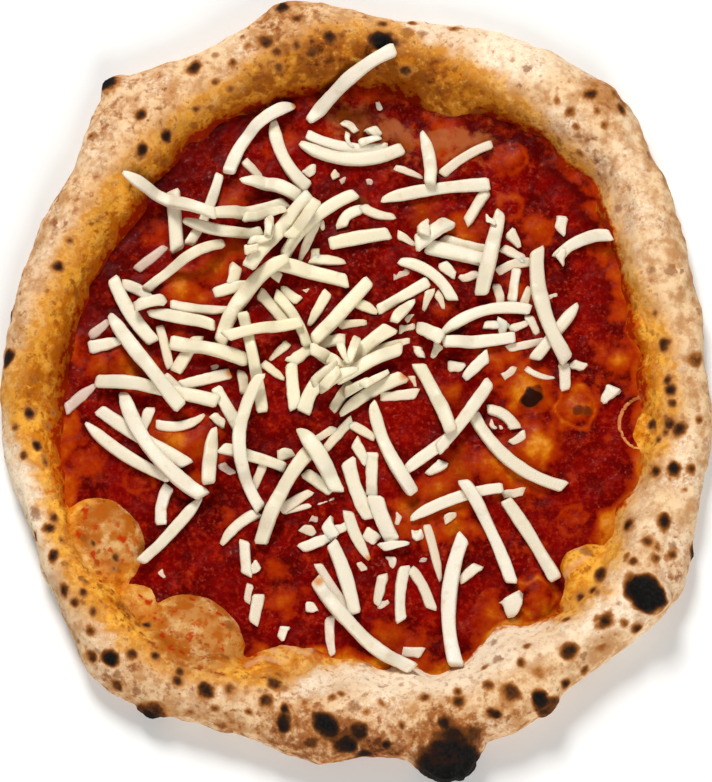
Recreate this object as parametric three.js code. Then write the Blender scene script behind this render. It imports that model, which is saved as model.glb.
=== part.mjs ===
// A Neapolitan margherita pizza: a blistered crust with a puffed rim, a layer of
// tomato sauce on its flat base, and long shreds of white mozzarella laid over the
// sauce and over one another. Millimetres, +Z up, resting on its flat underside.
import * as THREE from 'three';

// ---- Driving dimensions ----

const BASE_TOP = 4; // thickness of the baked base under the sauce
const SAUCE_DEPTH = 1.7; // sauce in the middle of the pizza
const SAUCE_LIP = 0.7; // sauce where it thins out against the rim
const SAUCE_LIP_SHARPNESS = 6; // how late, going outwards, the sauce thins out
const SWIRL_HEIGHT = 0.3; // waves that the ladle leaves in the sauce
const SWIRL_LENGTHS = [9, 11]; // those waves' lengths along X and Y, per radian
const GAP = 0.35; // clearance between pieces that rest on each other
const REACH = 155; // farther than any point of the pizza from its middle
const SECTORS = 120; // divisions round the pizza
const SAUCE_RINGS = 8; // divisions of the sauce from its centre to its edge

// Stops round the rim: [degrees anticlockwise from +X, value in millimetres].
const OUTLINE = [
  [0, 130.5], [20, 133.5], [37, 141], [46, 148], [60, 147.5], [70, 146.5],
  [86, 143.5], [98, 149.5], [112, 142], [129, 147.5], [141, 135.5], [154, 132.5],
  [180, 131], [206, 131.5], [218, 136], [230, 143], [240, 138.5], [251, 135.5], [260, 138],
  [272, 136.5], [294, 139.5], [310, 136.5], [328, 141], [339, 133.5], [350, 132],
];
const WALL_FOOT = [
  [0, 106], [11, 106.5], [24, 108.5], [30, 111.5], [36, 115], [42, 119], [49, 117.5],
  [56, 120], [67, 114], [90, 115],
  [120, 114], [134, 108.5], [155, 106], [175, 108], [192, 112], [210, 117],
  [225, 116], [240, 111], [256, 102], [272, 102], [290, 110], [300, 104],
  [312, 113], [330, 107], [341, 109],
];
const RIM_HEIGHT = [
  [0, 18], [45, 21], [75, 20], [100, 23], [120, 19], [140, 21], [180, 17],
  [208, 18], [232, 21], [262, 19], [288, 22], [322, 21], [345, 17],
];

// Dough bubbles that swell from the rim over the sauce: [x, y, radius, height].
const INNER_BUBBLES = [
  [-62, -97, 22, 9], [-96, -58, 19, 8], [87, -79, 12.5, 9], [89, -71, 14.5, 9],
  [84, -66.5, 9.5, 8], [110, -16, 9, 6], [36, 120, 15, 6], [-26, -106, 13, 6.5],
];
// Bubbles in the base that lift the sauce: [x, y, radius, height].
const BASE_BUBBLES = [
  [64, -2, 9, 2.6], [83, -8, 7, 1.6], [47, -28, 13, 1.6], [66, -22, 10, 1.6],
  [-66, 38, 12, 1.4], [-92, 10, 9, 1.4], [60, 88, 9, 1.6], [66, -77, 8, 2],
  [-63, -22, 11, 1.3],
];
// Charred blisters on the outside of the rim:
// [degrees, place from 0 at the crest to 1 at the widest line, radius, height].
const BLISTERS = [
  [284, 0.95, 15, 10.5], [324, 0.35, 10, 5], [300.5, 0.75, 7, 2.5], [238, 1, 8, 3],
  [128, 0.9, 8, 3], [264.5, 0.8, 7, 2.5], [101, 0.8, 12, 2], [50, 0.6, 13, 2],
];

const CREST_SHARE = 0.52; // the crest's place across the rim, from wall foot to outline
const WIDEST_SHARE = 0.42; // height of the rim's widest line over the crest's
const HEEL_SHARE = 0.45; // how far the rounded heel reaches in under the outer half
const WALL_FULLNESS = 2.2; // how long the inner half keeps the crest's height
const BLISTER_FULLNESS = 1.2; // how pointed a blister is: 1 is a blunt cap

// Shreds from the lowest layer to the highest:
// [start x, start y, end x, end y, bow to the left of that line, width].
const SHREDS = [
  [-68.5, 76.5, -66.5, 53.5, 0, 6],
  [-51, 83, -62, 55, 1, 4.2],
  [-49.5, 56, -78, 38.5, -1.5, 4.2],
  [-64, 64, -35, 61, -2.5, 4.6],
  [-56, 65.5, -26, 72, -0.8, 5],
  [-86.5, 80, -52, 64.5, -0.8, 5],
  [-31, 104, -18, 77.5, -3, 5.4],
  [-23, 109.5, -47.5, 83, -5, 5.2],
  [-43, 79, -21, 73, 2.5, 5.4],
  [-18, 103.5, 14.5, 127, 1.8, 5.6],
  [-21, 95, 17.5, 93, -5.3, 5.4],
  [9.5, 73, 50, 79, 1.2, 5.2],
  [24.5, 99.5, 27.5, 78, 1.5, 5.2],
  [-10, 56, 12.5, 60, 0.4, 5.6],
  [0, 75.5, -27, 51, -3.5, 5],
  [-31, 48, -3, 41.5, 0.3, 5.8],
  [-25, 49, -50.5, 17.5, -5, 6],
  [-17, 73, -40, 44.5, -1, 6],
  [-90.5, 43, -75, 18.5, -1.5, 5.8],
  [-77, 28.5, -52.5, 24, 1.5, 5],
  [-69, 18.5, -40.5, 11.5, 0.3, 5.6],
  [-95, -7, -62, -28, -0.5, 5.6],
  [-100, -12, -68, -33, -2, 5],
  [-57, -40, -79, -64.5, 0.5, 4.6],
  [-86, -1, -56, -40, -5, 6],
  [-96, 3.5, -51, -4, 1, 5.4],
  [-91.5, 28.5, -64.5, -7, -0.5, 6],
  [-52.5, -14, -54, -36, -0.5, 5.6],
  [-50, -22.5, -26, -29, 1, 4.6],
  [-42, 29, -34.5, -8, 0.5, 4.8],
  [-35, 5, -35, -44.5, -8, 5.2],
  [-30, 37, -18, 17, 1.5, 4.4],
  [-48.5, 19, -20, 25.5, 0.3, 4.6],
  [5, 42, -16, 18, 0, 5.6],
  [-4, 7, 13, 24, 1.5, 6.2],
  [-7, 2.5, 17, 16, 1, 5],
  [-6, -9, 18, 5.5, 1.5, 5.2],
  [16, 49.5, 36, 34.5, 3.5, 4.8],
  [18, -30, 34, -18.5, 0.3, 5.4],
  [43, -8, 77, -36, -5.5, 5.2],
  [49.5, 3.5, 30, -23, 0.8, 5],
  [23, 10, 35, -17, 1, 5.6],
  [26, 55, 50, 49, 0.3, 6],
  [54, 68.5, 46.5, 36.5, 0, 6],
  [31, 21, 65, 31, 4.5, 4.6],
  [32, 18, 59, 20.5, -0.5, 5],
  [66, 12, 82.5, 33, 0, 5],
  [67.5, 54, 78, 11.5, -3.7, 6.2],
  [95, 58.5, 75, 51, -3, 5],
  [20, -48, 54, -36.5, 2, 4.6],
  [39.5, -34.5, 57, -72, 1.5, 5],
  [55, -41, 73, -71, 0.8, 5.4],
  [6, -5, 21, -38.5, -2, 5.4],
  [-17, -22.5, -35, -57.5, -2, 5.8],
  [-21, -15, -7, -38, 1, 6.4],
  [-9, -57, -0.5, -83.5, 1, 5.8],
  [-15, -70.5, 20.5, -104.5, -3.5, 5.6],
  [39.5, -54.5, 36.5, -103, -4, 6],
];
const SHRED_THICKNESS = 0.62; // thickness of a shred over its width
const SHRED_FACE = 0.72; // width of its flat top and bottom over its full width
const SPAN = 5; // length of one straight stretch of a shred
const FEWEST_SPANS = 3; // straight stretches of a short shred
const END_SLANT = 0.35; // steepest slant of a shred's cut ends
const DROOP = 0.05; // how fast a shred sinks beside what holds it up, per mm of distance
const FEEL = 0.75; // step at which a shred feels what lies under it
const SIDE_ROOM = 0.8; // how far beyond its sides a shred feels
const END_ROOM = 2; // how far beyond its ends a shred feels
const LIFT_PASSES = 4; // rounds of lifting until a shred clears what it feels

// ---- Curves round the rim ----

// A smooth closed curve of values through the stops, by cubic Hermite spans.
function roundTheRim(stops) {
  const count = stops.length;
  const at = (i) => {
    const turn = Math.floor(i / count);
    const [angle, value] = stops[i - turn * count];
    return { angle: angle + 360 * turn, value };
  };
  const slope = (i) => {
    const before = at(i - 1);
    const after = at(i + 1);
    return (after.value - before.value) / (after.angle - before.angle);
  };
  return (degrees) => {
    const angle = ((degrees % 360) + 360) % 360;
    let i = -1;
    while (at(i + 1).angle <= angle) i += 1;
    const span = at(i + 1).angle - at(i).angle;
    const t = (angle - at(i).angle) / span;
    return (
      at(i).value * (1 + 2 * t) * (1 - t) ** 2 +
      at(i + 1).value * t * t * (3 - 2 * t) +
      slope(i) * span * t * (1 - t) ** 2 -
      slope(i + 1) * span * t * t * (1 - t)
    );
  };
}

const outline = roundTheRim(OUTLINE);
const wallFoot = roundTheRim(WALL_FOOT);
const rimHeight = roundTheRim(RIM_HEIGHT);
const crestRadius = (degrees) =>
  THREE.MathUtils.lerp(wallFoot(degrees), outline(degrees), CREST_SHARE);

// Where the sauce ends: at the foot of the wall, or where a ray from the centre
// first meets a dough bubble.
function sauceEdge(degrees) {
  const angle = THREE.MathUtils.degToRad(degrees);
  let edge = wallFoot(degrees);
  for (const [x, y, radius] of INNER_BUBBLES) {
    const along = x * Math.cos(angle) + y * Math.sin(angle);
    const aside = Math.abs(y * Math.cos(angle) - x * Math.sin(angle));
    if (along > 0 && aside < radius) {
      edge = Math.min(edge, along - Math.sqrt(radius ** 2 - aside ** 2));
    }
  }
  return edge;
}

// Height of a domed bubble above the dough round it, from 1 in its middle to 0.
const dome = (distance, radius) => Math.sqrt(Math.max(0, 1 - (distance / radius) ** 2));

// Height of the rim's inner half: a steep wall that rounds over into the crest.
function innerHeight(degrees, radius) {
  const angle = THREE.MathUtils.degToRad(degrees);
  const foot = wallFoot(degrees);
  const crest = crestRadius(degrees);
  const inward = THREE.MathUtils.clamp((crest - radius) / (crest - foot), 0, 1);
  let height = BASE_TOP + (rimHeight(degrees) - BASE_TOP) * (1 - inward ** WALL_FULLNESS);
  for (const [x, y, size, rise] of INNER_BUBBLES) {
    const away = Math.hypot(radius * Math.cos(angle) - x, radius * Math.sin(angle) - y);
    height = Math.max(height, BASE_TOP + rise * dome(away, size));
  }
  return height;
}

// ---- Closed surfaces from rings ----

// A solid of revolution-like rings, each a list of SECTORS points, closed by a
// point at each end. The rings run over the top, down the outside and back
// underneath, so that the faces point outwards.
function ringSolid(topPole, rings, bottomPole) {
  const points = [topPole, ...rings.flat(), bottomPole];
  const last = points.length - 1;
  const at = (ring, sector) => 1 + ring * SECTORS + (sector % SECTORS);
  const faces = [];
  for (let s = 0; s < SECTORS; s += 1) {
    faces.push(0, at(0, s), at(0, s + 1));
    for (let r = 0; r + 1 < rings.length; r += 1) {
      faces.push(at(r, s), at(r + 1, s), at(r + 1, s + 1));
      faces.push(at(r, s), at(r + 1, s + 1), at(r, s + 1));
    }
    faces.push(at(rings.length - 1, s), last, at(rings.length - 1, s + 1));
  }
  return surface(points, faces);
}

function surface(points, faces) {
  const geometry = new THREE.BufferGeometry();
  const positions = new Float32Array(points.flatMap((p) => [p.x, p.y, p.z]));
  geometry.setAttribute('position', new THREE.BufferAttribute(positions, 3));
  geometry.setIndex(faces);
  geometry.computeVertexNormals();
  return geometry;
}

const sectorAngles = Array.from({ length: SECTORS }, (_, s) => (360 * s) / SECTORS);

function polar(degrees, radius, height) {
  const angle = THREE.MathUtils.degToRad(degrees);
  return new THREE.Vector3(radius * Math.cos(angle), radius * Math.sin(angle), height);
}

// ---- Crust ----

// A point on the rim's outer half. Turn 0 is the crest, 1 the widest line and 2
// the heel, where the crust meets what it rests on.
function outerPoint(degrees, turn) {
  const crest = crestRadius(degrees);
  const edge = outline(degrees);
  const top = rimHeight(degrees);
  const widest = WIDEST_SHARE * top;
  const angle = (turn * Math.PI) / 2;
  if (turn <= 1) {
    const radius = crest + (edge - crest) * Math.sin(angle);
    return polar(degrees, radius, widest + (top - widest) * Math.cos(angle));
  }
  const heel = HEEL_SHARE * (edge - crest);
  return polar(degrees, edge - heel * (1 - Math.sin(angle)), widest * (1 + Math.cos(angle)));
}

// The direction in which the rim swells at a point: away from its section's middle.
function swellDirection(degrees, point) {
  const middle = polar(degrees, crestRadius(degrees), WIDEST_SHARE * rimHeight(degrees));
  return point.clone().sub(middle).normalize();
}

// A point of the outer half, pushed out where a blister is, but never below the
// surface that the crust rests on.
function blistered(degrees, point) {
  const swell = swellDirection(degrees, point);
  for (const [angle, turn, size, rise] of BLISTERS) {
    const away = point.distanceTo(outerPoint(angle, turn)) / size;
    if (away < 1) point.addScaledVector(swell, rise * (1 - away ** 2) ** BLISTER_FULLNESS);
  }
  return point.setZ(Math.max(0, point.z));
}

function crust() {
  const foot = sectorAngles.map((a) => polar(a, sauceEdge(a), BASE_TOP));
  const wall = [0.12, 0.3, 0.55, 0.8].map((share) =>
    sectorAngles.map((a) => {
      const radius = THREE.MathUtils.lerp(sauceEdge(a), crestRadius(a), share);
      return polar(a, radius, innerHeight(a, radius));
    }),
  );
  const outside = [0, 0.33, 0.66, 1, 1.5].map((turn) =>
    sectorAngles.map((a) => blistered(a, outerPoint(a, turn))),
  );
  const heel = sectorAngles.map((a) => outerPoint(a, 2).setZ(0));
  return ringSolid(
    new THREE.Vector3(0, 0, BASE_TOP),
    [foot, ...wall, ...outside, heel],
    new THREE.Vector3(0, 0, 0),
  );
}

// ---- Sauce ----

// The sauce's upper side: full depth in the middle, a thin lip at the edge,
// ladled in slow swirls and lifted by the bubbles in the base.
function sauceTop(degrees, share) {
  const point = polar(degrees, share * (sauceEdge(degrees) - GAP), 0);
  const [waveX, waveY] = SWIRL_LENGTHS;
  const swirl = SWIRL_HEIGHT * Math.sin(point.x / waveX) * Math.cos(point.y / waveY);
  let depth = THREE.MathUtils.lerp(SAUCE_DEPTH + swirl, SAUCE_LIP, share ** SAUCE_LIP_SHARPNESS);
  for (const [x, y, radius, rise] of BASE_BUBBLES) {
    const away = Math.hypot(point.x - x, point.y - y);
    depth += rise * dome(away, radius) ** 2;
  }
  return point.setZ(BASE_TOP + GAP + depth);
}

function sauce() {
  const rings = [];
  for (let ring = 1; ring <= SAUCE_RINGS; ring += 1) {
    rings.push(sectorAngles.map((a) => sauceTop(a, ring / SAUCE_RINGS)));
  }
  const underside = rings.at(-1).map((p) => p.clone().setZ(BASE_TOP + GAP));
  return ringSolid(
    sauceTop(0, 0),
    [...rings, underside],
    new THREE.Vector3(0, 0, BASE_TOP + GAP),
  );
}

// ---- Laying the shreds ----

// The highest surface so far over each cell of a square grid.
class HeightMap {
  constructor(halfSize, cell) {
    this.cell = cell;
    this.half = halfSize;
    this.side = Math.ceil((2 * halfSize) / cell);
    this.heights = new Float32Array(this.side ** 2);
  }

  column(value) {
    return THREE.MathUtils.clamp(Math.floor((value + this.half) / this.cell), 0, this.side - 1);
  }

  heightAt(x, y) {
    return this.heights[this.column(y) * this.side + this.column(x)];
  }

  cover(geometry) {
    const position = geometry.getAttribute('position');
    const index = geometry.getIndex();
    const corners = [0, 1, 2].map(() => new THREE.Vector3());
    for (let i = 0; i < index.count; i += 3) {
      corners.forEach((corner, k) => corner.fromBufferAttribute(position, index.getX(i + k)));
      this.coverTriangle(...corners);
    }
  }

  coverTriangle(a, b, c) {
    const twice = (b.x - a.x) * (c.y - a.y) - (c.x - a.x) * (b.y - a.y);
    if (Math.abs(twice) < 1e-6) return;
    const [left, right] = [Math.min(a.x, b.x, c.x), Math.max(a.x, b.x, c.x)].map((v) => this.column(v));
    const [low, high] = [Math.min(a.y, b.y, c.y), Math.max(a.y, b.y, c.y)].map((v) => this.column(v));
    for (let row = low; row <= high; row += 1) {
      for (let col = left; col <= right; col += 1) {
        const x = (col + 0.5) * this.cell - this.half;
        const y = (row + 0.5) * this.cell - this.half;
        const toB = ((x - a.x) * (c.y - a.y) - (c.x - a.x) * (y - a.y)) / twice;
        const toC = ((b.x - a.x) * (y - a.y) - (x - a.x) * (b.y - a.y)) / twice;
        if (toB < -0.02 || toC < -0.02 || toB + toC > 1.02) continue;
        const z = a.z + toB * (b.z - a.z) + toC * (c.z - a.z);
        const cell = row * this.side + col;
        this.heights[cell] = Math.max(this.heights[cell], z);
      }
    }
  }
}

// Points along a shred's plan: the straight line bowed out as a parabola.
function shredPlan([x0, y0, x1, y1, bow]) {
  const length = Math.hypot(x1 - x0, y1 - y0);
  const along = new THREE.Vector2(x1 - x0, y1 - y0).divideScalar(length);
  const spans = Math.max(FEWEST_SPANS, Math.round(length / SPAN));
  return Array.from({ length: spans + 1 }, (_, i) => {
    const t = i / spans;
    const aside = 4 * bow * t * (1 - t);
    const lean = (4 * bow * (1 - 2 * t)) / length;
    const heading = new THREE.Vector2(along.x - along.y * lean, along.y + along.x * lean);
    return {
      x: x0 + (x1 - x0) * t - along.y * aside,
      y: y0 + (y1 - y0) * t + along.x * aside,
      heading: heading.normalize(),
    };
  });
}

// What the shred feels under it at short steps along its plan: the highest point
// across its width, and a little beyond its sides and its ends.
function feltHeights(plan, width, ground) {
  const felt = [];
  for (let i = 0; i + 1 < plan.length; i += 1) {
    const [from, to] = [plan[i], plan[i + 1]];
    const length = Math.hypot(to.x - from.x, to.y - from.y);
    const steps = Math.ceil(length / FEEL);
    for (let k = 0; k <= steps; k += 1) {
      const t = k / steps;
      const reach = width / 2 + SIDE_ROOM;
      const overrun = (i + t === 0 ? -END_ROOM : 0) + (i + t === plan.length - 1 ? END_ROOM : 0);
      let highest = 0;
      for (let aside = -reach; aside <= reach; aside += reach / 4) {
        for (const ahead of [0, overrun / 2, overrun]) {
          const x = from.x + (to.x - from.x) * t - from.heading.y * aside + from.heading.x * ahead;
          const y = from.y + (to.y - from.y) * t + from.heading.x * aside + from.heading.y * ahead;
          highest = Math.max(highest, ground.heightAt(x, y));
        }
      }
      felt.push({ station: i + t, distance: (i + t) * length, height: highest + GAP });
    }
  }
  return felt;
}

// Heights of the shred's underside at its stations. It droops from what holds it
// up along parabolas, and is then lifted until every stretch clears what it felt.
function restingHeights(plan, width, ground) {
  const felt = feltHeights(plan, width, ground);
  const draped = felt.map(({ station, distance }) => ({
    station,
    height: Math.max(...felt.map((o) => o.height - DROOP * (o.distance - distance) ** 2)),
  }));
  const heights = plan.map((_, i) => draped.find((d) => d.station >= i).height);
  for (let pass = 0; pass < LIFT_PASSES; pass += 1) {
    for (const { station, height } of felt) {
      const i = Math.min(Math.floor(station), plan.length - 2);
      const carried = THREE.MathUtils.lerp(heights[i], heights[i + 1], station - i);
      const lift = Math.max(0, height - carried);
      heights[i] += lift;
      heights[i + 1] += lift;
    }
  }
  return heights;
}

// A shred: a six-sided section, widest at half its height, swept through its
// stations, with each end cut off at a slant.
function shred(row, number, ground) {
  const width = row[5];
  const thickness = SHRED_THICKNESS * width;
  const plan = shredPlan(row);
  const heights = restingHeights(plan, width, ground);
  const face = (SHRED_FACE * width) / 2;
  const section = [
    [-face, 0], [face, 0], [width / 2, thickness / 2],
    [face, thickness], [-face, thickness], [-width / 2, thickness / 2],
  ];
  const slants = [END_SLANT * Math.sin(2 * number), END_SLANT * Math.cos(3 * number)];
  const points = plan.flatMap(({ x, y, heading }, i) => {
    const slant = i === 0 ? slants[0] : i === plan.length - 1 ? slants[1] : 0;
    return section.map(([aside, up]) => new THREE.Vector3(
      x - heading.y * aside + heading.x * aside * slant,
      y + heading.x * aside + heading.y * aside * slant,
      heights[i] + up,
    ));
  });
  const sides = section.length;
  const end = (plan.length - 1) * sides;
  const faces = [];
  for (let ring = 0; ring < end; ring += sides) {
    for (let side = 0; side < sides; side += 1) {
      const next = (side + 1) % sides;
      faces.push(ring + side, ring + sides + next, ring + sides + side);
      faces.push(ring + side, ring + next, ring + sides + next);
    }
  }
  for (let side = 1; side + 1 < sides; side += 1) {
    faces.push(0, side + 1, side);
    faces.push(end, end + side, end + side + 1);
  }
  return surface(points, faces);
}

// ---- The pizza ----

const crustMaterial = new THREE.MeshStandardMaterial({ color: '#d9b083', roughness: 0.85 });
const sauceMaterial = new THREE.MeshStandardMaterial({ color: '#8c150b', roughness: 0.3 });
const cheeseMaterial = new THREE.MeshStandardMaterial({ color: '#f3ead0', roughness: 0.5 });

const pizza = new THREE.Group();

function serve(name, geometry, material) {
  const mesh = new THREE.Mesh(geometry, material);
  mesh.name = name;
  pizza.add(mesh);
}

const ground = new HeightMap(REACH, FEEL);
const crustGeometry = crust();
const sauceGeometry = sauce();
ground.cover(crustGeometry);
ground.cover(sauceGeometry);
serve('crust', crustGeometry, crustMaterial);
serve('sauce', sauceGeometry, sauceMaterial);
SHREDS.forEach((row, i) => {
  const geometry = shred(row, i + 1, ground);
  ground.cover(geometry);
  serve(`shred_${String(i + 1).padStart(2, '0')}`, geometry, cheeseMaterial);
});

// The origin is the middle of the crust's outline, on the surface it rests on.
const middle = new THREE.Box3().setFromBufferAttribute(crustGeometry.getAttribute('position'));
pizza.position.copy(middle.getCenter(new THREE.Vector3()).negate().setZ(0));

export default pizza;
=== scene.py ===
# %% [markdown]
# # A margherita pizza
#
# A Neapolitan-style margherita: a disc of dough that puffs up round its rim in a very
# hot oven, a thin layer of crushed tomato, and coarse shreds of mozzarella. The
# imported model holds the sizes: a crust, a layer of sauce and fifty-eight shreds. Here
# each of them gets the surface of the real food, and the short bits and crumbs of
# cheese that are too many to be parts of their own are added.
#
# The frame comes first, because every piece is placed by it.

# %% Load the frame
import math

import bpy
import numpy as np
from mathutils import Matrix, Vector


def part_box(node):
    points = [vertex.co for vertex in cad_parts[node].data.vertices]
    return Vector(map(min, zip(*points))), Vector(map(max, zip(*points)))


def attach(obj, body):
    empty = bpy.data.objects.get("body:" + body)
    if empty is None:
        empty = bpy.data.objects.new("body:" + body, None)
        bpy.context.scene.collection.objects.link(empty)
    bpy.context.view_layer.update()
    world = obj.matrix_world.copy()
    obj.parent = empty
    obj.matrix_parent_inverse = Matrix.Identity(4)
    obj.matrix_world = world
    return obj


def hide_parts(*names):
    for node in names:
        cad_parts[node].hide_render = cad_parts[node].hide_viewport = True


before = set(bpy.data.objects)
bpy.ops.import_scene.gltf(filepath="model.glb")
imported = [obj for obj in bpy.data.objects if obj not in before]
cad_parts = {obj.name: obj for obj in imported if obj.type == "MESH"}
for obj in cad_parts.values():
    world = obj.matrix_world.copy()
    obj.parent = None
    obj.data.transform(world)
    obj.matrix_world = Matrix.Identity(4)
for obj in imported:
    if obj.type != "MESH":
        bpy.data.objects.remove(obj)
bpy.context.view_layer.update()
MM = 0.001


# %% [markdown]
# ## The curves round the rim
#
# A pizza's outline is drawn by hand and by the oven, so it isn't a circle. A few stops
# round the rim say how far out the crust reaches, where the wall of the rim meets the
# sauce and how high the rim stands, and a smooth closed curve runs through them. These
# are the same stops that the model's crust is made from, so the fine crust fits it.

# %% Stops round the rim
OUTLINE = [  # degrees, and how far out the crust reaches in mm
    (0, 130.5), (20, 133.5), (37, 141), (46, 148), (60, 147.5), (70, 146.5), (86, 143.5),
    (98, 149.5), (112, 142), (129, 147.5), (141, 135.5), (154, 132.5), (180, 131), (206, 131.5),
    (218, 136), (230, 143), (240, 138.5), (251, 135.5), (260, 138), (272, 136.5), (294, 139.5),
    (310, 136.5), (328, 141), (339, 133.5), (350, 132),
]
WALL_FOOT = [  # degrees, and where the rim's inner wall meets the sauce
    (0, 106), (11, 106.5), (24, 108.5), (30, 111.5), (36, 115), (42, 119), (49, 117.5), (56, 120),
    (67, 114), (90, 115), (120, 114), (134, 108.5), (155, 106), (175, 108), (192, 112), (210, 117),
    (225, 116), (240, 111), (256, 102), (272, 102), (290, 110), (300, 104), (312, 113), (330, 107),
    (341, 109),
]
RIM_HEIGHT = [  # degrees, and how high the rim stands
    (0, 18), (45, 21), (75, 20), (100, 23), (120, 19), (140, 21), (180, 17), (208, 18), (232, 21),
    (262, 19), (288, 22), (322, 21), (345, 17),
]
print("stops:", len(OUTLINE), "for the outline,", len(WALL_FOOT), "for the foot of the wall")

# %% [markdown]
# A Hermite span is a cubic that leaves one stop and reaches the next at given slopes, so
# that spans join without a kink. The same formula bends the shreds later on.

# %% Closed curves through stops


def hermite(t, start, end, leaving, reaching):
    """The cubic from start to end while t goes from 0 to 1: both values and both slopes,
    each times its own cubic weight."""
    return (
        start * (1 + 2 * t) * (1 - t) ** 2
        + end * t * t * (3 - 2 * t)
        + leaving * t * (1 - t) ** 2
        - reaching * t * t * (1 - t)
    )


def round_the_rim(stops):
    """A smooth closed curve of values over degrees: Hermite spans between the stops, each
    stop's slope being that of the line between its two neighbours."""
    angles, values = np.array(stops, float).T
    turns = np.concatenate([angles - 360, angles, angles + 360])
    levels = np.tile(values, 3)
    slopes = np.gradient(levels) / np.gradient(turns)

    def curve(degrees):
        place = np.mod(degrees, 360)
        i = np.searchsorted(turns, place, side="right") - 1
        span = turns[i + 1] - turns[i]
        t = (place - turns[i]) / span
        return hermite(t, levels[i], levels[i + 1], slopes[i] * span, slopes[i + 1] * span)

    return curve


outline = round_the_rim(OUTLINE)
wall_foot = round_the_rim(WALL_FOOT)
rim_height = round_the_rim(RIM_HEIGHT)
CREST_SHARE = 0.52  # how far from the foot to the outline the rim is highest


def crest(degrees):
    """Radius of the rim's highest line, a little past half way from foot to outline."""
    return wall_foot(degrees) + CREST_SHARE * (outline(degrees) - wall_foot(degrees))


reaches = outline(np.arange(0, 360, 0.5))
print("outline from", reaches.min().round(1), "to", reaches.max().round(1), "mm")

# %% [markdown]
# ## Random but repeatable relief
#
# Dough and sauce are uneven at every size, from bulges as wide as a thumb to grains.
# Noise textures exist for this in materials, but here real shape is wanted, so that the
# outline and the shadows show it. A sum of a few dozen plane waves in random directions
# gives a smooth, endless relief of any size from a seed.

# %% Ripples in space


def ripples(points, size, seed, waves=48):
    """Relief of about one unit: cosines of plane waves about `size` long, with random
    directions and phases, summed and divided by the square root of half their number."""
    rng = np.random.default_rng(seed)
    directions = rng.normal(size=(waves, 3))
    directions /= np.linalg.norm(directions, axis=1, keepdims=True)
    lengths = size * rng.uniform(0.75, 1.5, waves)
    phases = rng.uniform(0, 2 * math.pi, waves)
    angles = points.reshape(-1, 3) @ (directions * (2 * math.pi / lengths)[:, None]).T
    return (np.cos(angles + phases).sum(1) * math.sqrt(2 / waves)).reshape(points.shape[:-1])


walk = np.arange(500)[:, None] * [1.0, 0, 0]
print("spread of a relief 20 mm long:", ripples(walk, 20, 1).std().round(2))

# %% [markdown]
# Shapes are joined by a few short formulas: a step with soft ends, a round cap, and a
# choice of the higher of two surfaces that leaves a rounded crease, as dough does.

# %% Steps, caps and creases


def smooth_step(low, high, value):
    """0 below low, 1 above high, and an S-shaped ramp between them."""
    t = np.clip((value - low) / (high - low), 0, 1)
    return t * t * (3 - 2 * t)


def dome(distance, radius):
    """Height of a round cap: 1 in the middle, falling as an ellipse to 0 at its radius."""
    return np.sqrt(np.clip(1 - (distance / radius) ** 2, 0, None))


def smooth_max(a, b, blend):
    """The higher of two surfaces, rounded over where they cross within blend mm."""
    near = np.clip(0.5 + 0.5 * (a - b) / blend, 0, 1)
    return b + (a - b) * near + blend * near * (1 - near)


def fade(value):
    """A bell: 1 where the value is 0, falling off to both sides as exp of minus its square."""
    return np.exp(-(value**2))


print("a cap half way out:", dome(0.5, 1).round(2), " a bell there:", fade(0.5).round(2))

# %% [markdown]
# ## Meshes from rings
#
# The crust and the shreds are rings of points, one after another, with a pole at each
# end. On the crust the rings run over the top, round the outside and back underneath;
# on a shred they follow its line. Either way they give one closed skin whose faces all
# point outwards.

# %% Make a piece from rings


def mesh_piece(name, points, faces, marks=None):
    """A smooth-shaded object in metres from points in millimetres. marks holds one number
    per point under each attribute's name."""
    mesh = bpy.data.meshes.new(name)
    mesh.from_pydata((points * MM).tolist(), [], faces)
    mesh.polygons.foreach_set("use_smooth", np.ones(len(faces), bool))
    for mark, values in (marks or {}).items():
        layer = mesh.attributes.new(mark, "FLOAT", "POINT")
        layer.data.foreach_set("value", np.asarray(values, np.float32).ravel())
    mesh.update()
    piece = bpy.data.objects.new(name, mesh)
    bpy.context.scene.collection.objects.link(piece)
    return piece


def ring_faces(rings, sectors, start=0):
    """Faces of a skin numbered as: first pole, the rings in order, last pole."""
    ring, sector = np.meshgrid(np.arange(rings - 1), np.arange(sectors), indexing="ij")
    after = (sector + 1) % sectors
    first = start + 1
    here, beyond = first + ring * sectors, first + (ring + 1) * sectors
    quads = np.stack([here + sector, beyond + sector, beyond + after, here + after], -1)
    s = np.arange(sectors)
    n = (s + 1) % sectors
    last = first + (rings - 1) * sectors
    top = np.stack([np.full(sectors, start), first + s, first + n], -1)
    bottom = np.stack([last + s, np.full(sectors, last + sectors), last + n], -1)
    return quads.reshape(-1, 4).tolist() + top.tolist() + bottom.tolist()


print("two rings of six have", len(ring_faces(2, 6)), "faces")

# %% [markdown]
# ## The camera
#
# The pizza is looked at from nearly straight above. The camera comes first because the
# burnt spots and the golden band are placed as they show from there: a spot's place on
# the table is turned into the visible point of the crust that covers it. A long lens a
# good way off keeps the far and the near rim at the same scale.

# %% Camera
middle_of_design = np.array([0.25, -2.45, 0.0])  # where the stops' centre lies in the part
ELEVATION = math.radians(78)
AIM = np.array([0.0, 0.0, 8.0])
LENS, SENSOR = 200.0, 36.0
VIEW_LENGTH = 289.3  # millimetres that the long side of the view takes in
DISTANCE = VIEW_LENGTH * LENS / SENSOR
FARTHEST_SEEN = 20  # metres

backward = np.array([0, -math.cos(ELEVATION), math.sin(ELEVATION)])
eye = AIM + DISTANCE * backward
upward = np.array([0, math.sin(ELEVATION), math.cos(ELEVATION)])

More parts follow.
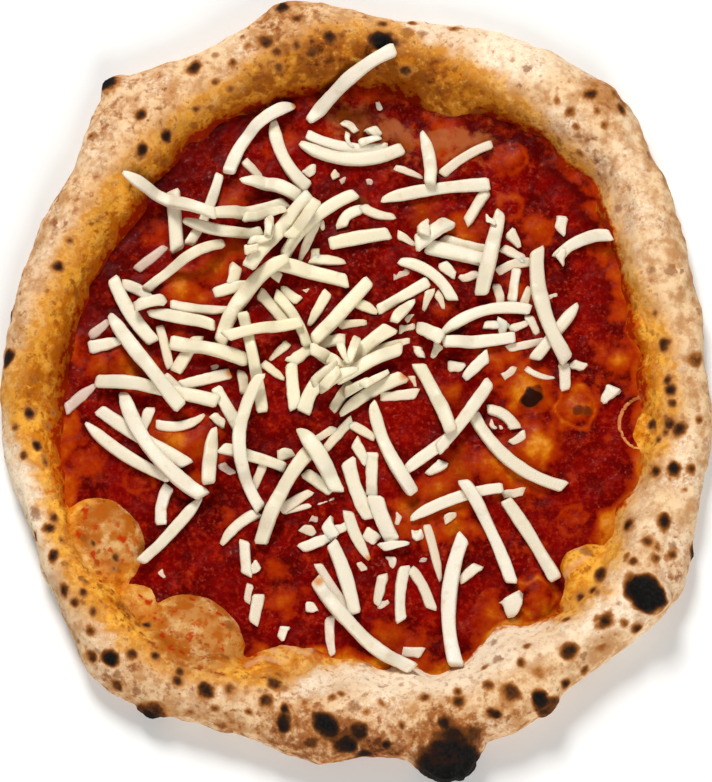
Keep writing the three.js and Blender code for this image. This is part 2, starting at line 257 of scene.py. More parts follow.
camera_data = bpy.data.cameras.new("camera")
camera_data.lens = LENS
camera_data.sensor_width = SENSOR
camera_data.clip_end = FARTHEST_SEEN
camera = bpy.data.objects.new("camera", camera_data)
bpy.context.scene.collection.objects.link(camera)
camera.location = Vector((eye + middle_of_design) * MM)
camera.rotation_euler = (math.pi / 2 - ELEVATION, 0, 0)
bpy.context.scene.camera = camera
print("camera", round(DISTANCE * MM, 2), "m away")

# %% [markdown]
# The next formula says where any point shows, in millimetres across and up. It is the
# camera's own perspective, worked out for whole arrays of points at once.

# %% Places as they show


def as_seen(points):
    """Across and up, in mm at the aim's distance, of points seen from the camera. Up is
    stretched so that a flat thing at the aim's height shows its true proportions."""
    offset = points - eye
    depth = -(offset @ backward)
    across = DISTANCE * offset[..., 0] / depth
    up = DISTANCE * (offset @ upward) / depth
    return np.stack([across, up / math.sin(ELEVATION)], -1)


def bearing(x, y):
    """Angle in degrees round the middle."""
    return np.degrees(np.arctan2(y, x))


def from_axis(points):
    """Distance of points from the upright line through the middle."""
    return np.hypot(points[..., 0], points[..., 1])


print("the middle of the base shows at", as_seen(np.zeros(3)).round(1), "mm")

# %% [markdown]
# ## The crust's shape
#
# One skin: a flat base, a wall that climbs to the crest of the rim, the round outside
# and the flat underside. Bubbles of dough that swelled over the sauce are domes joined
# to the wall with a rounded crease, and one lip of dough has curled over.

# %% The base, the wall and the bubbles
BASE_TOP = 4.0
TOE = 1.6  # how far in front of its foot the wall starts to rise
WALL_BULGE = 2.2  # power of the wall's curve: higher is steeper at the foot
INNER_BUBBLES = [  # x, y, radius, height, how much its own skin shows
    (-62, -97, 22, 9, 1.0), (-96, -58, 19, 8, 1.0), (87, -79, 12.5, 9, 0.0),
    (89, -71, 14.5, 9, 0.0), (84, -66.5, 9.5, 8, 0.0), (110, -16, 9, 6, 0.0), (36, 120, 15, 6, 0.0),
    (-26, -106, 13, 6.5, 0.5), (-82.5, -82, 12, 4.4, 0.6),
]
FOLD_X, FOLD_Y, FOLD_RADIUS = 108, -12, 10.5  # the arc of the curled lip
FOLD_WIDTH, FOLD_HALF_ANGLE, FOLD_HEIGHT = 0.9, 62, 3.4


def fold_ridge(x, y):
    """1 on the arc of the fold, falling off as a bell to each side and at both ends."""
    aside = np.hypot(x - FOLD_X, y - FOLD_Y) - FOLD_RADIUS
    past_end = np.abs(bearing(FOLD_X - x, y - FOLD_Y)) - FOLD_HALF_ANGLE
    return fade(aside / FOLD_WIDTH) * fade(np.clip(past_end / 12, 0, None))


def dough_height(degrees, radius):
    """Height of the base and of the rim's inner half: a steep wall that rounds over
    into the crest, joined with the domes of the bubbles."""
    foot, top, ridge = wall_foot(degrees), rim_height(degrees), crest(degrees)
    turn = np.radians(degrees)
    across, up = radius * np.cos(turn), radius * np.sin(turn)
    plan = np.stack([across, up, 0 * across], -1)
    inward = (ridge - radius) / (ridge - foot + TOE)
    inward = np.clip(inward * (1 + 0.08 * ripples(plan, 15, 9)), 0, 1)
    height = BASE_TOP + (top - BASE_TOP) * (1 - inward**WALL_BULGE)
    uneven = ripples(plan, 8, 10)
    for x, y, size, rise, shows in INNER_BUBBLES:
        away = np.hypot(across - x, up - y) * (1 + (0.05 - 0.038 * shows) * uneven)
        height = smooth_max(height, BASE_TOP - 1 + (rise + 1) * dome(away, size), 1.6)
    return smooth_max(height, BASE_TOP + FOLD_HEIGHT * fold_ridge(across, up), 0.8)


print("rim's height at the back:", dough_height(90.0, crest(90.0)).round(1), "mm")

# %% [markdown]
# The outside of the rim is a quarter of an ellipse down to its widest line and another
# one back in under it, to the heel that the pizza stands on. Ellipses need no more
# than the widths and heights that the stops already give.

# %% The outside of the rim
WIDEST_SHARE = 0.42  # height of the widest line, as a share of the rim's
HEEL_SHARE = 0.45  # how far the heel is drawn in, as a share of the rim's outer half


def outer_curve(degrees, turn):
    """Radius and height of the rim's outer half, in quarter ellipses: turn 0 is the
    crest, 1 the widest line and 2 the heel, which is drawn in under the rim."""
    top, edge, ridge = rim_height(degrees), outline(degrees), crest(degrees)
    widest = WIDEST_SHARE * top
    angle = turn * math.pi / 2
    if turn <= 1:
        return ridge + (edge - ridge) * math.sin(angle), widest + (top - widest) * math.cos(angle)
    heel = HEEL_SHARE * (edge - ridge)
    return edge - heel * (1 - math.sin(angle)), widest * (1 + math.cos(angle))


def in_the_round(degrees, radius, height):
    """Points from angle, radius and height."""
    turn = np.radians(degrees)
    return np.stack([radius * np.cos(turn), radius * np.sin(turn), height + 0 * turn], -1)


print("heel at the front:", np.round(outer_curve(270.0, 2), 1), "mm out and up")

# %% [markdown]
# The rings are close together on the wall and over the crest, where the skin turns, and
# far apart on the flat base, which the sauce covers, and on the underside.

# %% The smooth skin of the crust
SECTORS = 768
degrees = np.arange(SECTORS) * 360 / SECTORS
foot, ridge = wall_foot(degrees), crest(degrees)
rings = []
for share in np.concatenate([[0.3, 0.55], np.linspace(0.6, 0.99, 38)]):
    rings.append(in_the_round(degrees, share * foot, dough_height(degrees, share * foot)))
for share in np.linspace(0, 1, 34, endpoint=False):
    radius = foot + share * (ridge - foot)
    rings.append(in_the_round(degrees, radius, dough_height(degrees, radius)))
for turn in np.linspace(0, 2, 43):
    rings.append(in_the_round(degrees, *outer_curve(degrees, turn)))
for share in (0.985, 0.95, 0.8, 0.5, 0.2):
    rings.append(in_the_round(degrees, share * outer_curve(degrees, 2)[0], 0.0))
skin = np.array(rings)
print("crust grid:", skin.shape[0], "rings of", skin.shape[1])

# %% [markdown]
# Blisters are pockets of steam that push the skin out from the middle of the rim and
# then burn. They could be sculpted, but a cap that moves the skin away from the rim's
# core follows every change of the rim. Its mark of soot is kept for the material.

# %% Blisters on the outside
BLISTERS = [  # degrees, turn from crest (0) to widest line (1), radius, height, how burnt
    (284, 0.95, 15, 10.5, 1.1), (324, 0.35, 10, 5, 0.0), (300.5, 0.75, 7, 2.5, 0.6),
    (238, 1, 8, 3, 0.8), (128, 0.9, 8, 3, 0.3), (264.5, 0.8, 7, 0.8, 0.0), (101, 0.8, 12, 2, 0.3),
    (50, 0.6, 13, 2, 0.3),
]
lifted = smooth_step(1.0, 6.0, skin[..., 2])  # nothing moves near the table
on_rim = lifted * smooth_step(-8, 6, from_axis(skin) - foot)

core = in_the_round(degrees, ridge, WIDEST_SHARE * rim_height(degrees))
swell = skin - core
swell /= np.maximum(np.linalg.norm(swell, axis=-1, keepdims=True), 1e-9)
blistering, scorch = np.zeros((2, *skin.shape[:2]))
for number, (place, turn, size, rise, burnt) in enumerate(BLISTERS):
    centre = in_the_round(float(place), *outer_curve(float(place), turn))
    away = np.linalg.norm(skin - centre, axis=-1) / size
    away = away * (1 + 0.05 * ripples(skin, 12, 50 + number))
    swollen = np.clip(1 - away**2, 0, None) ** 1.2
    blistering += rise * swollen
    scorch = np.maximum(scorch, burnt * smooth_step(0.1, 0.6, swollen))
skin = skin + swell * (blistering * lifted)[..., None]
print("highest blister:", blistering.max().round(1), "mm")

# %% [markdown]
# Ripples of four sizes then make the rim as uneven as real dough. They move the skin
# along its own direction, so that they stand out on the wall and on the crest alike.

# %% Relief on the crust
RELIEF = [(0.6, 34, 11), (0.28, 14, 12), (0.14, 6, 13), (0.06, 2.4, 14)]  # height, length, seed


def skin_directions(points):
    """The outward direction at each point of a ring grid: the cross product of the step
    to the next ring and the step to the next sector."""
    along = np.gradient(points, axis=0)
    around = np.roll(points, -1, 1) - np.roll(points, 1, 1)
    normal = np.cross(along, around)
    return normal / np.maximum(np.linalg.norm(normal, axis=-1, keepdims=True), 1e-9)


relief = sum(height * ripples(skin, length, seed) for height, length, seed in RELIEF)
skin = skin + skin_directions(skin) * (relief * on_rim)[..., None]
print("rim relief from", relief.min().round(2), "to", relief.max().round(2), "mm")

# %% [markdown]
# ## Where the crust is golden, toasted and burnt
#
# The oven leaves its marks in zones. The floury outside stays pale. Oil and tomato run
# up the inner wall and bake it golden. Thin spots toast, and blisters burn black. Each
# zone is a number at every point of the skin, made here and stored as an attribute, and
# the material only softens and breaks up its edge.
#
# What changes slowly round the rim is given by stops, as the shape is.

# %% Bands round the rim
GOLDEN_EDGE = [  # how far out the oily band reaches
    (0, 117), (12, 115), (24, 110), (34, 113), (45, 119.5), (54, 120.5), (62, 126), (75, 132),
    (90, 138), (104, 131), (112, 126), (130, 121), (150, 119), (168, 122), (182, 130), (196, 122),
    (215, 128), (230, 127), (245, 121), (255, 114), (263, 104), (285, 100), (302, 100), (314, 116),
    (326, 115), (337, 107), (350, 116),
]
# Partly the oil's own browning, partly painted: the far wall's inner face is painted in shade and the
# near wall's painted lit.
GOLD_TONE_AND_PAINTED_LIGHT = [  # from deep amber, 0, to a bright orange-yellow, 1
    (0, 0.8), (20, 0.8), (45, 0.5), (60, 0.15), (75, 0), (90, 0), (108, 0.15), (122, 0.4),
    (140, 0.42), (165, 0.42), (180, 0.3), (194, 1.1), (210, 1), (225, 0.9), (250, 1), (285, 1),
    (320, 0.8), (335, 0.9),
]
FLOURED = [  # how thickly flour lies on the rim
    (0, 0.3), (20, 0.1), (35, 0.2), (60, 0.6), (76, 1.4), (92, 0.3), (125, 0.1), (150, 0.1),
    (175, 0.2), (200, 1.3), (220, 0.5), (240, 0.2), (262, 1.5), (290, 1.6), (310, 1.1), (335, 0.5),
]
FLOUR_WIDTH = [  # how far out it lies, from the foot, 0, to the outline, 1
    (0, 1.2), (240, 1.2), (262, 0.42), (290, 0.42), (312, 0.7), (330, 1.2),
]
STAIN_REACH = [  # how far the tomato's stain climbs the wall
    (0, 4), (15, 3), (30, 2), (45, 1), (57, 2.5), (70, 8), (90, 6), (105, 4), (120, 3.5),
    (145, 3.5), (165, 5), (180, 7), (195, 6), (205, 7), (214, 4), (235, 4), (250, 7), (265, 2.5),
    (290, 2), (310, 2), (325, 1), (345, 3),
]
print("the oily band reaches", max(reach for _, reach in GOLDEN_EDGE), "mm at most")

# %% [markdown]
# Zones and spots are given by their place as it shows from the camera, because that is
# how a baker would point at them.

# %% Browner zones
TOASTED = [  # where brown specks crowd: across, up, radius, strength
    (-25, 130, 30, 0.9), (-62, 116, 24, 0.6), (-105, 85, 30, 0.35), (80, 104, 24, 0.6),
    (124, 40, 30, 0.35), (122, -20, 26, 0.6), (112, -60, 28, 0.6), (72, -110, 26, 0.7),
    (12, -132, 30, 1.5), (-40, -114, 28, 0.8), (-95, -88, 24, 0.9), (106, -6, 14, 0.9),
    (0, 126, 24, 1.2), (-128, 10, 30, 0.25), (-108, -70, 20, 1.4), (-72, -108, 20, 1.2),
    (12, 130, 22, 0.7),
]
TANNED = [  # where the whole skin is browner: across, up, radius, strength
    (-28, 138, 20, 0.8), (14, 134, 14, 0.5), (-12, 127, 13, 1.4), (7, 126, 12, 1.3),
    (-32, 120, 11, 0.9), (28, 117, 12, 1.0), (-128, 28, 28, 0.4), (-112, 78, 34, 0.5),
    (-84, 108, 28, 0.5), (37, -135, 15, 2.0), (10, -135, 15, 1.3), (-20, -134, 18, 1.0),
    (-4, -130, 9, 1.5), (-50, -126, 14, 0.6), (-86, -112, 20, 0.6), (58, -124, 14, 0.6),
    (118, -68, 12, 0.6), (80, 84, 18, 0.7), (0, -142, 22, 1.0), (50, -134, 12, 0.7),
]
print("zones:", len(TOASTED), "toasted,", len(TANNED), "tanned")

# %% [markdown]
# The spots differ in size and depth as much as real ones: a few big black blisters, some
# brown pools and a great many flecks. Noise alone would spread them evenly, while real
# ones gather where the flame passed over, so these are listed one by one.

# %% Burns and specks
BURNS = [  # across, up, radius, depth: 1 is black, 0.5 brown
    (35.5, -145.5, 9, 1.8), (36.5, -132, 6.5, 0.8), (32, -125.5, 2.6, 0.9), (43.5, -131, 4.5, 0.7),
    (105.4, -74.6, 4.8, 1.7), (67.8, -116.3, 3, 1.3), (-75.3, -123, 4, 1.3), (-92, 117, 3.2, 1.2),
    (-11.2, -127, 4.6, 1.3), (-26.6, -126.5, 3, 1.0), (-3.2, -134.2, 4, 1.05),
    (3.8, -137, 3.2, 0.9), (-17, -132.5, 2.6, 0.75), (1.4, -128.6, 3.4, 0.8),
    (-26.2, -120.3, 1.7, 0.85), (57.5, -114, 2.8, 0.75), (-30.5, -110.7, 2.4, 0.8),
    (-88.2, -112, 2.4, 0.65), (9.6, 132.2, 4.4, 1.3), (18.2, 121.3, 2.2, 0.75),
    (-27.4, 145, 2.6, 1.0), (-91, -101, 2.7, 1.15), (-83, -99.5, 2, 0.8), (-97.5, -100.4, 2, 0.9),
    (-55.6, -113, 2.7, 1.0), (-33, -116.6, 2.4, 0.8), (-129, 13, 3.2, 0.95), (125.5, 12, 3.2, 0.6),
    (126, -61, 3, 0.9), (-134, 30, 2.4, 0.7), (-70.5, 96.6, 2.3, 0.95), (-78.6, 91, 2.2, 1.0),
    (-80, 104, 2.2, 0.75), (107.2, -79.2, 4.8, 1.7),
]
SPECKS = [  # small brown and black flecks: across, up, radius, depth
    (-33.8, 132.2, 3.4, 0.7), (-21.8, 140.8, 2.4, 0.7), (-16, 128, 3.2, 0.7), (-10, 133.5, 3, 0.7),
    (-22, 131, 2.6, 0.6), (-29, 128, 2.4, 0.55), (-12, 126, 2.2, 0.5), (-59.6, 122.8, 3, 0.75),
    (-45.8, 124, 2, 0.6), (-40, 131, 1.8, 0.5), (-46, 114, 1.8, 0.5), (-28.8, 122.4, 2.2, 0.6),
    (10, 139, 2.2, 0.6), (20.4, 139.4, 2, 0.6), (36, 137, 2.4, 0.6), (-110, 47, 2.2, 0.9),
    (-59.6, 106.5, 1.8, 0.5), (-52, 117, 1.6, 0.5), (87, 112, 2.8, 0.75), (79, 106, 2.2, 0.6),
    (98, 107, 2.4, 0.65), (92, 101, 1.8, 0.5), (95, 113, 1.8, 0.5), (82, 100, 1.8, 0.5),
    (89, 106, 1.6, 0.5), (74, 110, 1.8, 0.45), (83, 90, 1.9, 0.5), (116, 83, 2, 0.6),
    (123, 58, 2, 0.5), (-126, 44, 1.8, 0.5), (-122, 63, 2, 0.5), (-113, 74, 2, 0.5),
    (-106, 57, 1.6, 0.5), (-98, 96, 1.8, 0.5), (100.5, -51, 2.8, 0.85), (113.5, -49.5, 2.8, 0.95),
    (114, 18, 2.6, 0.8), (110.6, 29, 1.7, 0.6), (115.3, 4.5, 2, 0.75), (116.4, 0.5, 2.4, 0.9),
    (117, -4.3, 1.7, 0.7), (116, -12.3, 2.3, 0.9), (120, -14, 2.8, 0.75), (114.3, -16, 1.8, 0.6),
    (109.2, -13, 2.2, 0.75), (112, -18.7, 1.7, 0.6), (127.3, -11, 2, 0.5), (117.5, -28.4, 2.8, 1.0),
    (111.2, -30.4, 2.8, 0.7), (123.8, -29, 2.2, 0.65), (121.8, -37, 1.8, 0.4),
    (110.7, -59, 1.9, 0.5), (89.4, -76, 1.5, 0.5), (89, -86, 1.7, 0.4), (79, -98.5, 3.2, 0.85),
    (93, -86.8, 3, 0.8), (68.3, -106.2, 2.2, 0.65), (78.2, -110.6, 2.6, 0.9),
    (63.5, -96.4, 2.2, 0.6), (61, -102.7, 2, 0.6), (51.4, -122.8, 2.4, 0.9), (57, -115.7, 3, 0.6),
    (49.4, -111.5, 2.2, 0.6), (37.3, -117.6, 2.3, 0.7), (25.5, -116.2, 2.4, 0.65),
    (47, -105, 1.8, 0.5), (90.6, -70, 2.6, 0.75), (83, -77.7, 2.2, 0.7), (87.5, -75.6, 1.9, 0.6),
    (77.6, -86.5, 2, 0.6), (102.7, -64.7, 2, 0.6), (108, -57, 2.6, 0.6), (111, -64, 2.2, 0.5),
    (116.5, -62, 2.4, 0.7), (90.7, -97, 2.2, 0.5), (104, -90, 2.8, 0.7), (99, -88, 2, 0.5),
    (85, -105, 2, 0.55), (-112, -48, 1.8, 0.7), (-113.4, -52, 1.9, 0.75), (-109, -56, 1.5, 0.5),
    (-112, -63, 2.2, 0.9), (-107.7, -76, 2.2, 0.85), (-101, -76, 2, 0.75), (-104, -80, 2, 0.75),
    (-100, -72, 1.5, 0.5), (-97, -84, 2.2, 0.7), (-98.6, -90.6, 2.6, 0.6), (-118.6, -55, 1.8, 0.6),
    (-74, -100, 2, 0.7), (-47, -113, 2.4, 0.6), (-65, -106.5, 2.4, 0.6), (-97.5, -57.6, 1.5, 0.8),
    (-89, -63, 1.7, 0.75), (-90, -67, 1.4, 0.6), (-77.7, -88.6, 1.9, 0.75), (-118, -20, 2, 0.8),
    (-123, -24, 1.6, 0.7), (-115, -27, 1.8, 0.6), (-121, -8, 2.2, 0.8), (-114, -14, 1.6, 0.5),
    (-126, -14, 1.7, 0.5), (-112, -8, 1.5, 0.5), (-52, -120.4, 2, 0.5), (-49, -126.5, 2.6, 0.5),
    (-65.7, -110, 2.2, 0.8), (-9, -115.8, 1.8, 0.55), (-5.5, -114.6, 1.8, 0.55),
    (-15.4, -121.6, 1.9, 0.65), (11.3, -133.7, 2.2, 0.85), (17.2, -126.5, 1.8, 0.6),
    (-61, -121.6, 2.2, 0.45), (37.3, -114, 1.9, 0.6), (4, -121, 1.6, 0.5), (-40, -121, 1.6, 0.5),
    (10, -118, 1.5, 0.45),
]
print("burnt spots:", len(BURNS), " specks:", len(SPECKS))

# %% [markdown]
# On the bubbles at the lower left, the sauce splashed and thin threads of dough stuck.

# %% Tomato flecks, threads and creases
STAINS = [  # flecks of tomato on the dough: across, up, radius
    (-100.5, -45.7, 2.2), (-102.5, -54, 1.7), (-86, -56, 2), (-87.6, -50.5, 1.3), (-97, -62, 1.4),
    (-96, -65, 1.3), (-95, -68.5, 1.5), (-94.5, -71.4, 1.2), (-76.7, -79.5, 1.8),
    (-74.4, -86.3, 1.3), (-71.4, -92.7, 1.7), (-60.5, -91.3, 1.4), (-65, -98.4, 1.7),
    (-61, -79, 1.4), (-50.6, -84.6, 1.4), (-49, -88, 1.1), (-56, -101, 1.4), (-80, -78, 1.5),
    (-90, -76, 1.2), (-88, -82, 1.3),
]
STRANDS = [  # pale threads of dough baked onto the bubbles
    [(-28, -95.5), (-23, -97.4), (-18.7, -99.3), (-16.8, -98), (-18, -95.5), (-23, -94.6), (-28, -95.5)],
    [(-40.3, -103.8), (-34.2, -100.7), (-27.9, -102.6)], [(-38, -98), (-33, -96.5), (-29, -99)],
    [(-62, -74.5), (-54, -77), (-47, -82), (-43, -89)], [(76, -72), (80, -66), (86, -62)],
    [(74, -61), (79, -58), (84, -60)],
]
CREASES = [  # lines of painted shade in the creases where the bubbles meet the wall
    [(-68, -91), (-64, -93.7), (-59, -94.2), (-55.7, -96)], [(-97, -62), (-95, -68), (-91, -75)],
    [(-88, -80), (-79, -93), (-66, -103), (-48, -107), (-30, -109)],
]
print("flecks:", len(STAINS), " threads:", len(STRANDS), " creases:", len(CREASES))

# %% [markdown]
# The visible point of the crust nearest to a place is looked up first. A spot then
# spreads over the skin from that point, so it keeps its true size on the steep wall
# and round the edge. Real spots are never round: each is stretched one way and has a
# wavy border.

# %% Spots on the skin
seen = as_seen(skin)
seen_radius = from_axis(seen)
seen_angle = bearing(seen[..., 0], seen[..., 1])
SAUCE_ONLY = 60  # within this radius the crust is under the sauce
facing = (skin_directions(skin) * (eye - skin)).sum(-1) > 0
visible = facing & (from_axis(skin) > SAUCE_ONLY)


def spot_distance(across, up, size, seed):
    """Distance of every point of the skin from the visible point at a place, in units of
    the spot's size: shrunk along one random direction, which makes the spot an oval, and
    with a wavy edge."""
    gap = np.where(visible, np.hypot(seen[..., 0] - across, seen[..., 1] - up), np.inf)
    from_spot = skin - skin[np.unravel_index(gap.argmin(), gap.shape)]
    rng = np.random.default_rng(seed)
    turn, stretch = rng.uniform(0, math.pi), rng.uniform(1, 1.35)
    along = from_spot @ [math.cos(turn), math.sin(turn), 0]
    squared = stretch * (from_spot**2).sum(-1) - (stretch - 1 / stretch) * along**2
    wavy = 0.13 * ripples(skin, 3 * size, seed, 16)
    wavy += 0.05 * ripples(skin, 0.9 * size, seed + 1, 16)
    return np.sqrt(squared) / size * (1 + wavy)


def most(spots, shape, seed):
    """The highest of the marks of a list of spots at every point, where shape turns the
    distance from a spot, in its own size, into a mark from 0 to 1."""
    marked = np.zeros(skin.shape[:2])
    for number, (across, up, size, *strength) in enumerate(spots):
        mark = shape(spot_distance(across, up, size, seed + number))
        marked = np.maximum(marked, mark * (strength[0] if strength else 1))
    return marked


def patch(away):
    """A mark that is even inside and falls off over the outer half of its radius."""
    return np.clip((1.35 - away) / 0.55, 0, 1)


burn = np.maximum(
    most(BURNS, lambda away: np.clip((1.6 - away) / 1.1, 0, 1), 100),
    most(SPECKS, lambda away: 1.1 * np.exp(-(away**2.2)), 200),
)
burn = np.maximum(burn, scorch)
stain = most(STAINS, lambda away: patch(1.35 * away), 300)
toast = most(TOASTED, fade, 400)
tan = most(TANNED, fade, 450)
print("burnt share of the skin:", round(float((burn > 0.5).mean()), 4))

# %% [markdown]
# Threads and creases are lines through a few corners, and the bubbles carry a mark of
# their own, because their thin skin stays paler and catches drops of tomato.

# %% Lines and bubbles on the skin


def from_line(x, y, corners):
    """Distance of each point from a line through corners: the least over its spans, each
    the distance from the nearest point of that span."""
    nearest = np.full(np.shape(x), np.inf)
    for (x0, y0), (x1, y1) in zip(corners, corners[1:]):
        dx, dy = x1 - x0, y1 - y0
        share = np.clip(((x - x0) * dx + (y - y0) * dy) / (dx**2 + dy**2), 0, 1)
        nearest = np.minimum(nearest, np.hypot(x - x0 - share * dx, y - y0 - share * dy))
    return nearest


def near_lines(lines, reach):
    """1 on any of the lines as they show, falling to 0 at reach from them."""
    away = np.min([from_line(seen[..., 0], seen[..., 1], line) for line in lines], axis=0)
    return np.clip(1.5 * (1 - away / reach), 0, 1) * visible


bubble, raised = np.zeros((2, *skin.shape[:2]))
for x, y, size, _, shows in INNER_BUBBLES:
    away = np.hypot(skin[..., 0] - x, skin[..., 1] - y) / size
    raised = np.maximum(raised, smooth_step(1.06, 0.84, away))
    away = np.hypot(skin[..., 0] - 0.93 * x, skin[..., 1] - 0.93 * y) / size
    bubble = np.maximum(bubble, shows * smooth_step(1.05, 0.55, away))
lip = fold_ridge(skin[..., 0], skin[..., 1])
raised = np.maximum(raised, 0.35 * lip)
crease = near_lines(CREASES, 1.5)
strand = np.maximum(near_lines(STRANDS, 1.4), 0.7 * lip)
print("share of the skin on bubbles:", round(float((raised > 0.5).mean()), 4))

# %% [markdown]
# Flour ends at a line of its own, and char crumbles: the burnt skin gets a last, rough
# relief. Then the skin is complete and becomes the piece that stands for the model's
# crust.

# %% Make the crust
share = (seen_radius - wall_foot(seen_angle)) / (outline(seen_angle) - wall_foot(seen_angle))
flour_ends = round_the_rim(FLOUR_WIDTH)(seen_angle)
stain_share = (seen_radius - wall_foot(seen_angle) + 1.2) / round_the_rim(STAIN_REACH)(seen_angle)
marks = {
    "golden": round_the_rim(GOLDEN_EDGE)(seen_angle) - seen_radius,
    "clean": np.maximum(stain_share, 1.7 * raised),
    "gold_tone_and_painted_light": round_the_rim(GOLD_TONE_AND_PAINTED_LIGHT)(seen_angle),
    "flour": round_the_rim(FLOURED)(seen_angle) * smooth_step(0.2, -0.2, share - flour_ends),
    "burn": burn, "toast": toast, "tan": tan, "stain": stain,
    "bubble": bubble, "crease": crease, "strand": strand,
}
char = smooth_step(0.5, 1.1, burn) * on_rim * (0.35 + 0.4 * ripples(skin, 5, 15))
skin = skin + skin_directions(skin) * char[..., None]
skin[..., 2] = np.maximum(skin[..., 2], 0)

crust_points = np.concatenate([[[0, 0, BASE_TOP]], skin.reshape(-1, 3), [[0, 0, 0.0]]])
crust = mesh_piece(
    "crust_skin", crust_points + middle_of_design, ring_faces(*skin.shape[:2]),
    {name: np.concatenate([[0], values.ravel(), [0]]) for name, values in marks.items()},
)
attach(crust, "root")
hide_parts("crust")
low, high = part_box("crust")
print("crust (mm):", [round(v / MM, 1) for v in crust.dimensions])
print("model (mm):", [round(v / MM, 1) for v in high - low])

# %% [markdown]
# ## The sauce
#
# Crushed tomato is a wet, pulpy layer a couple of millimetres deep. The ladle leaves it
# in gentle waves, and the dough bubbles up a little under it.

# %% The sauce's height
SAUCE_DEPTH = 2.05
BASE_BUBBLES = [  # x, y, radius, height
    (64, -2, 9, 2.6), (83, -8, 7, 1.6), (47, -28, 13, 1.6), (66, -22, 10, 1.6), (-66, 38, 12, 1.4),
    (-92, 10, 9, 1.4), (60, 88, 9, 1.6), (66, -77, 8, 2), (-63, -22, 11, 1.3),
]


def sauce_height(x, y):
    """Top of the sauce: its depth over the base, waves left by the ladle and the domes
    of the bubbles under it."""
    height = BASE_TOP + SAUCE_DEPTH + 0.3 * np.sin(x / 9) * np.cos(y / 11)
    for bx, by, size, rise in BASE_BUBBLES:
        height = height + rise * dome(np.hypot(x - bx, y - by), size) ** 2
    return height


print("sauce over the highest bubble:", sauce_height(64, -2).round(1), "mm up")

# %% [markdown]
# A grid in polar form would crowd its points at the centre, so here a square grid is
# bent into a disc, which keeps the spacing nearly even. Its edge runs in under the wall
# of the rim, so no gap shows there.

# %% The top of the sauce
SAUCE_GRID = 300
UNDER_WALL = 3.0  # how far past the foot of the wall the sauce runs
PULP = [(0.18, 11, 21), (0.06, 4.4, 22), (0.03, 2.2, 23)]  # height, length, seed

steps = np.linspace(-1, 1, SAUCE_GRID + 1)
u, v = np.meshgrid(steps, steps, indexing="ij")
disc_x, disc_y = u * np.sqrt(1 - v**2 / 2), v * np.sqrt(1 - u**2 / 2)
sauce_angle = bearing(disc_x, disc_y)
reach = wall_foot(sauce_angle) + UNDER_WALL
x, y = disc_x * reach, disc_y * reach
flat = np.stack([x, y, 0 * x], -1)
pulp = sum(height * ripples(flat, length, seed) for height, length, seed in PULP)
top = np.stack([x, y, sauce_height(x, y) + pulp], -1)
print("sauce's top from", top[..., 2].min().round(2), "to", top[..., 2].max().round(2), "mm")

# %% [markdown]
# A skirt round the border and a fan underneath close the layer just above the dough. A
# thickness modifier could do this too, but the layer only has to be closed, and the
# dough hides its underside.

# %% Close the sauce
UNDERSIDE = BASE_TOP + 0.35
number = np.arange(x.size).reshape(x.shape)
corners = [number[:-1, :-1], number[1:, :-1], number[1:, 1:], number[:-1, 1:]]
quads = np.stack(corners, -1).reshape(-1, 4)
border = np.concatenate([number[:-1, 0], number[-1, :-1], number[:0:-1, -1], number[0, :0:-1]])
under = top.reshape(-1, 3)[border] * [1, 1, 0] + [0, 0, UNDERSIDE]
below = number.size + np.arange(len(border))
centre = np.full(len(border), number.size + len(border))
skirt = np.stack([border, below, np.roll(below, -1), np.roll(border, -1)], -1)
floor_fan = np.stack([below, centre, np.roll(below, -1)], -1)
sauce_points = np.concatenate([top.reshape(-1, 3), under, [[0, 0, UNDERSIDE]]])
sauce_faces = quads.tolist() + skirt.tolist() + floor_fan.tolist()
print("sauce faces:", len(sauce_faces))
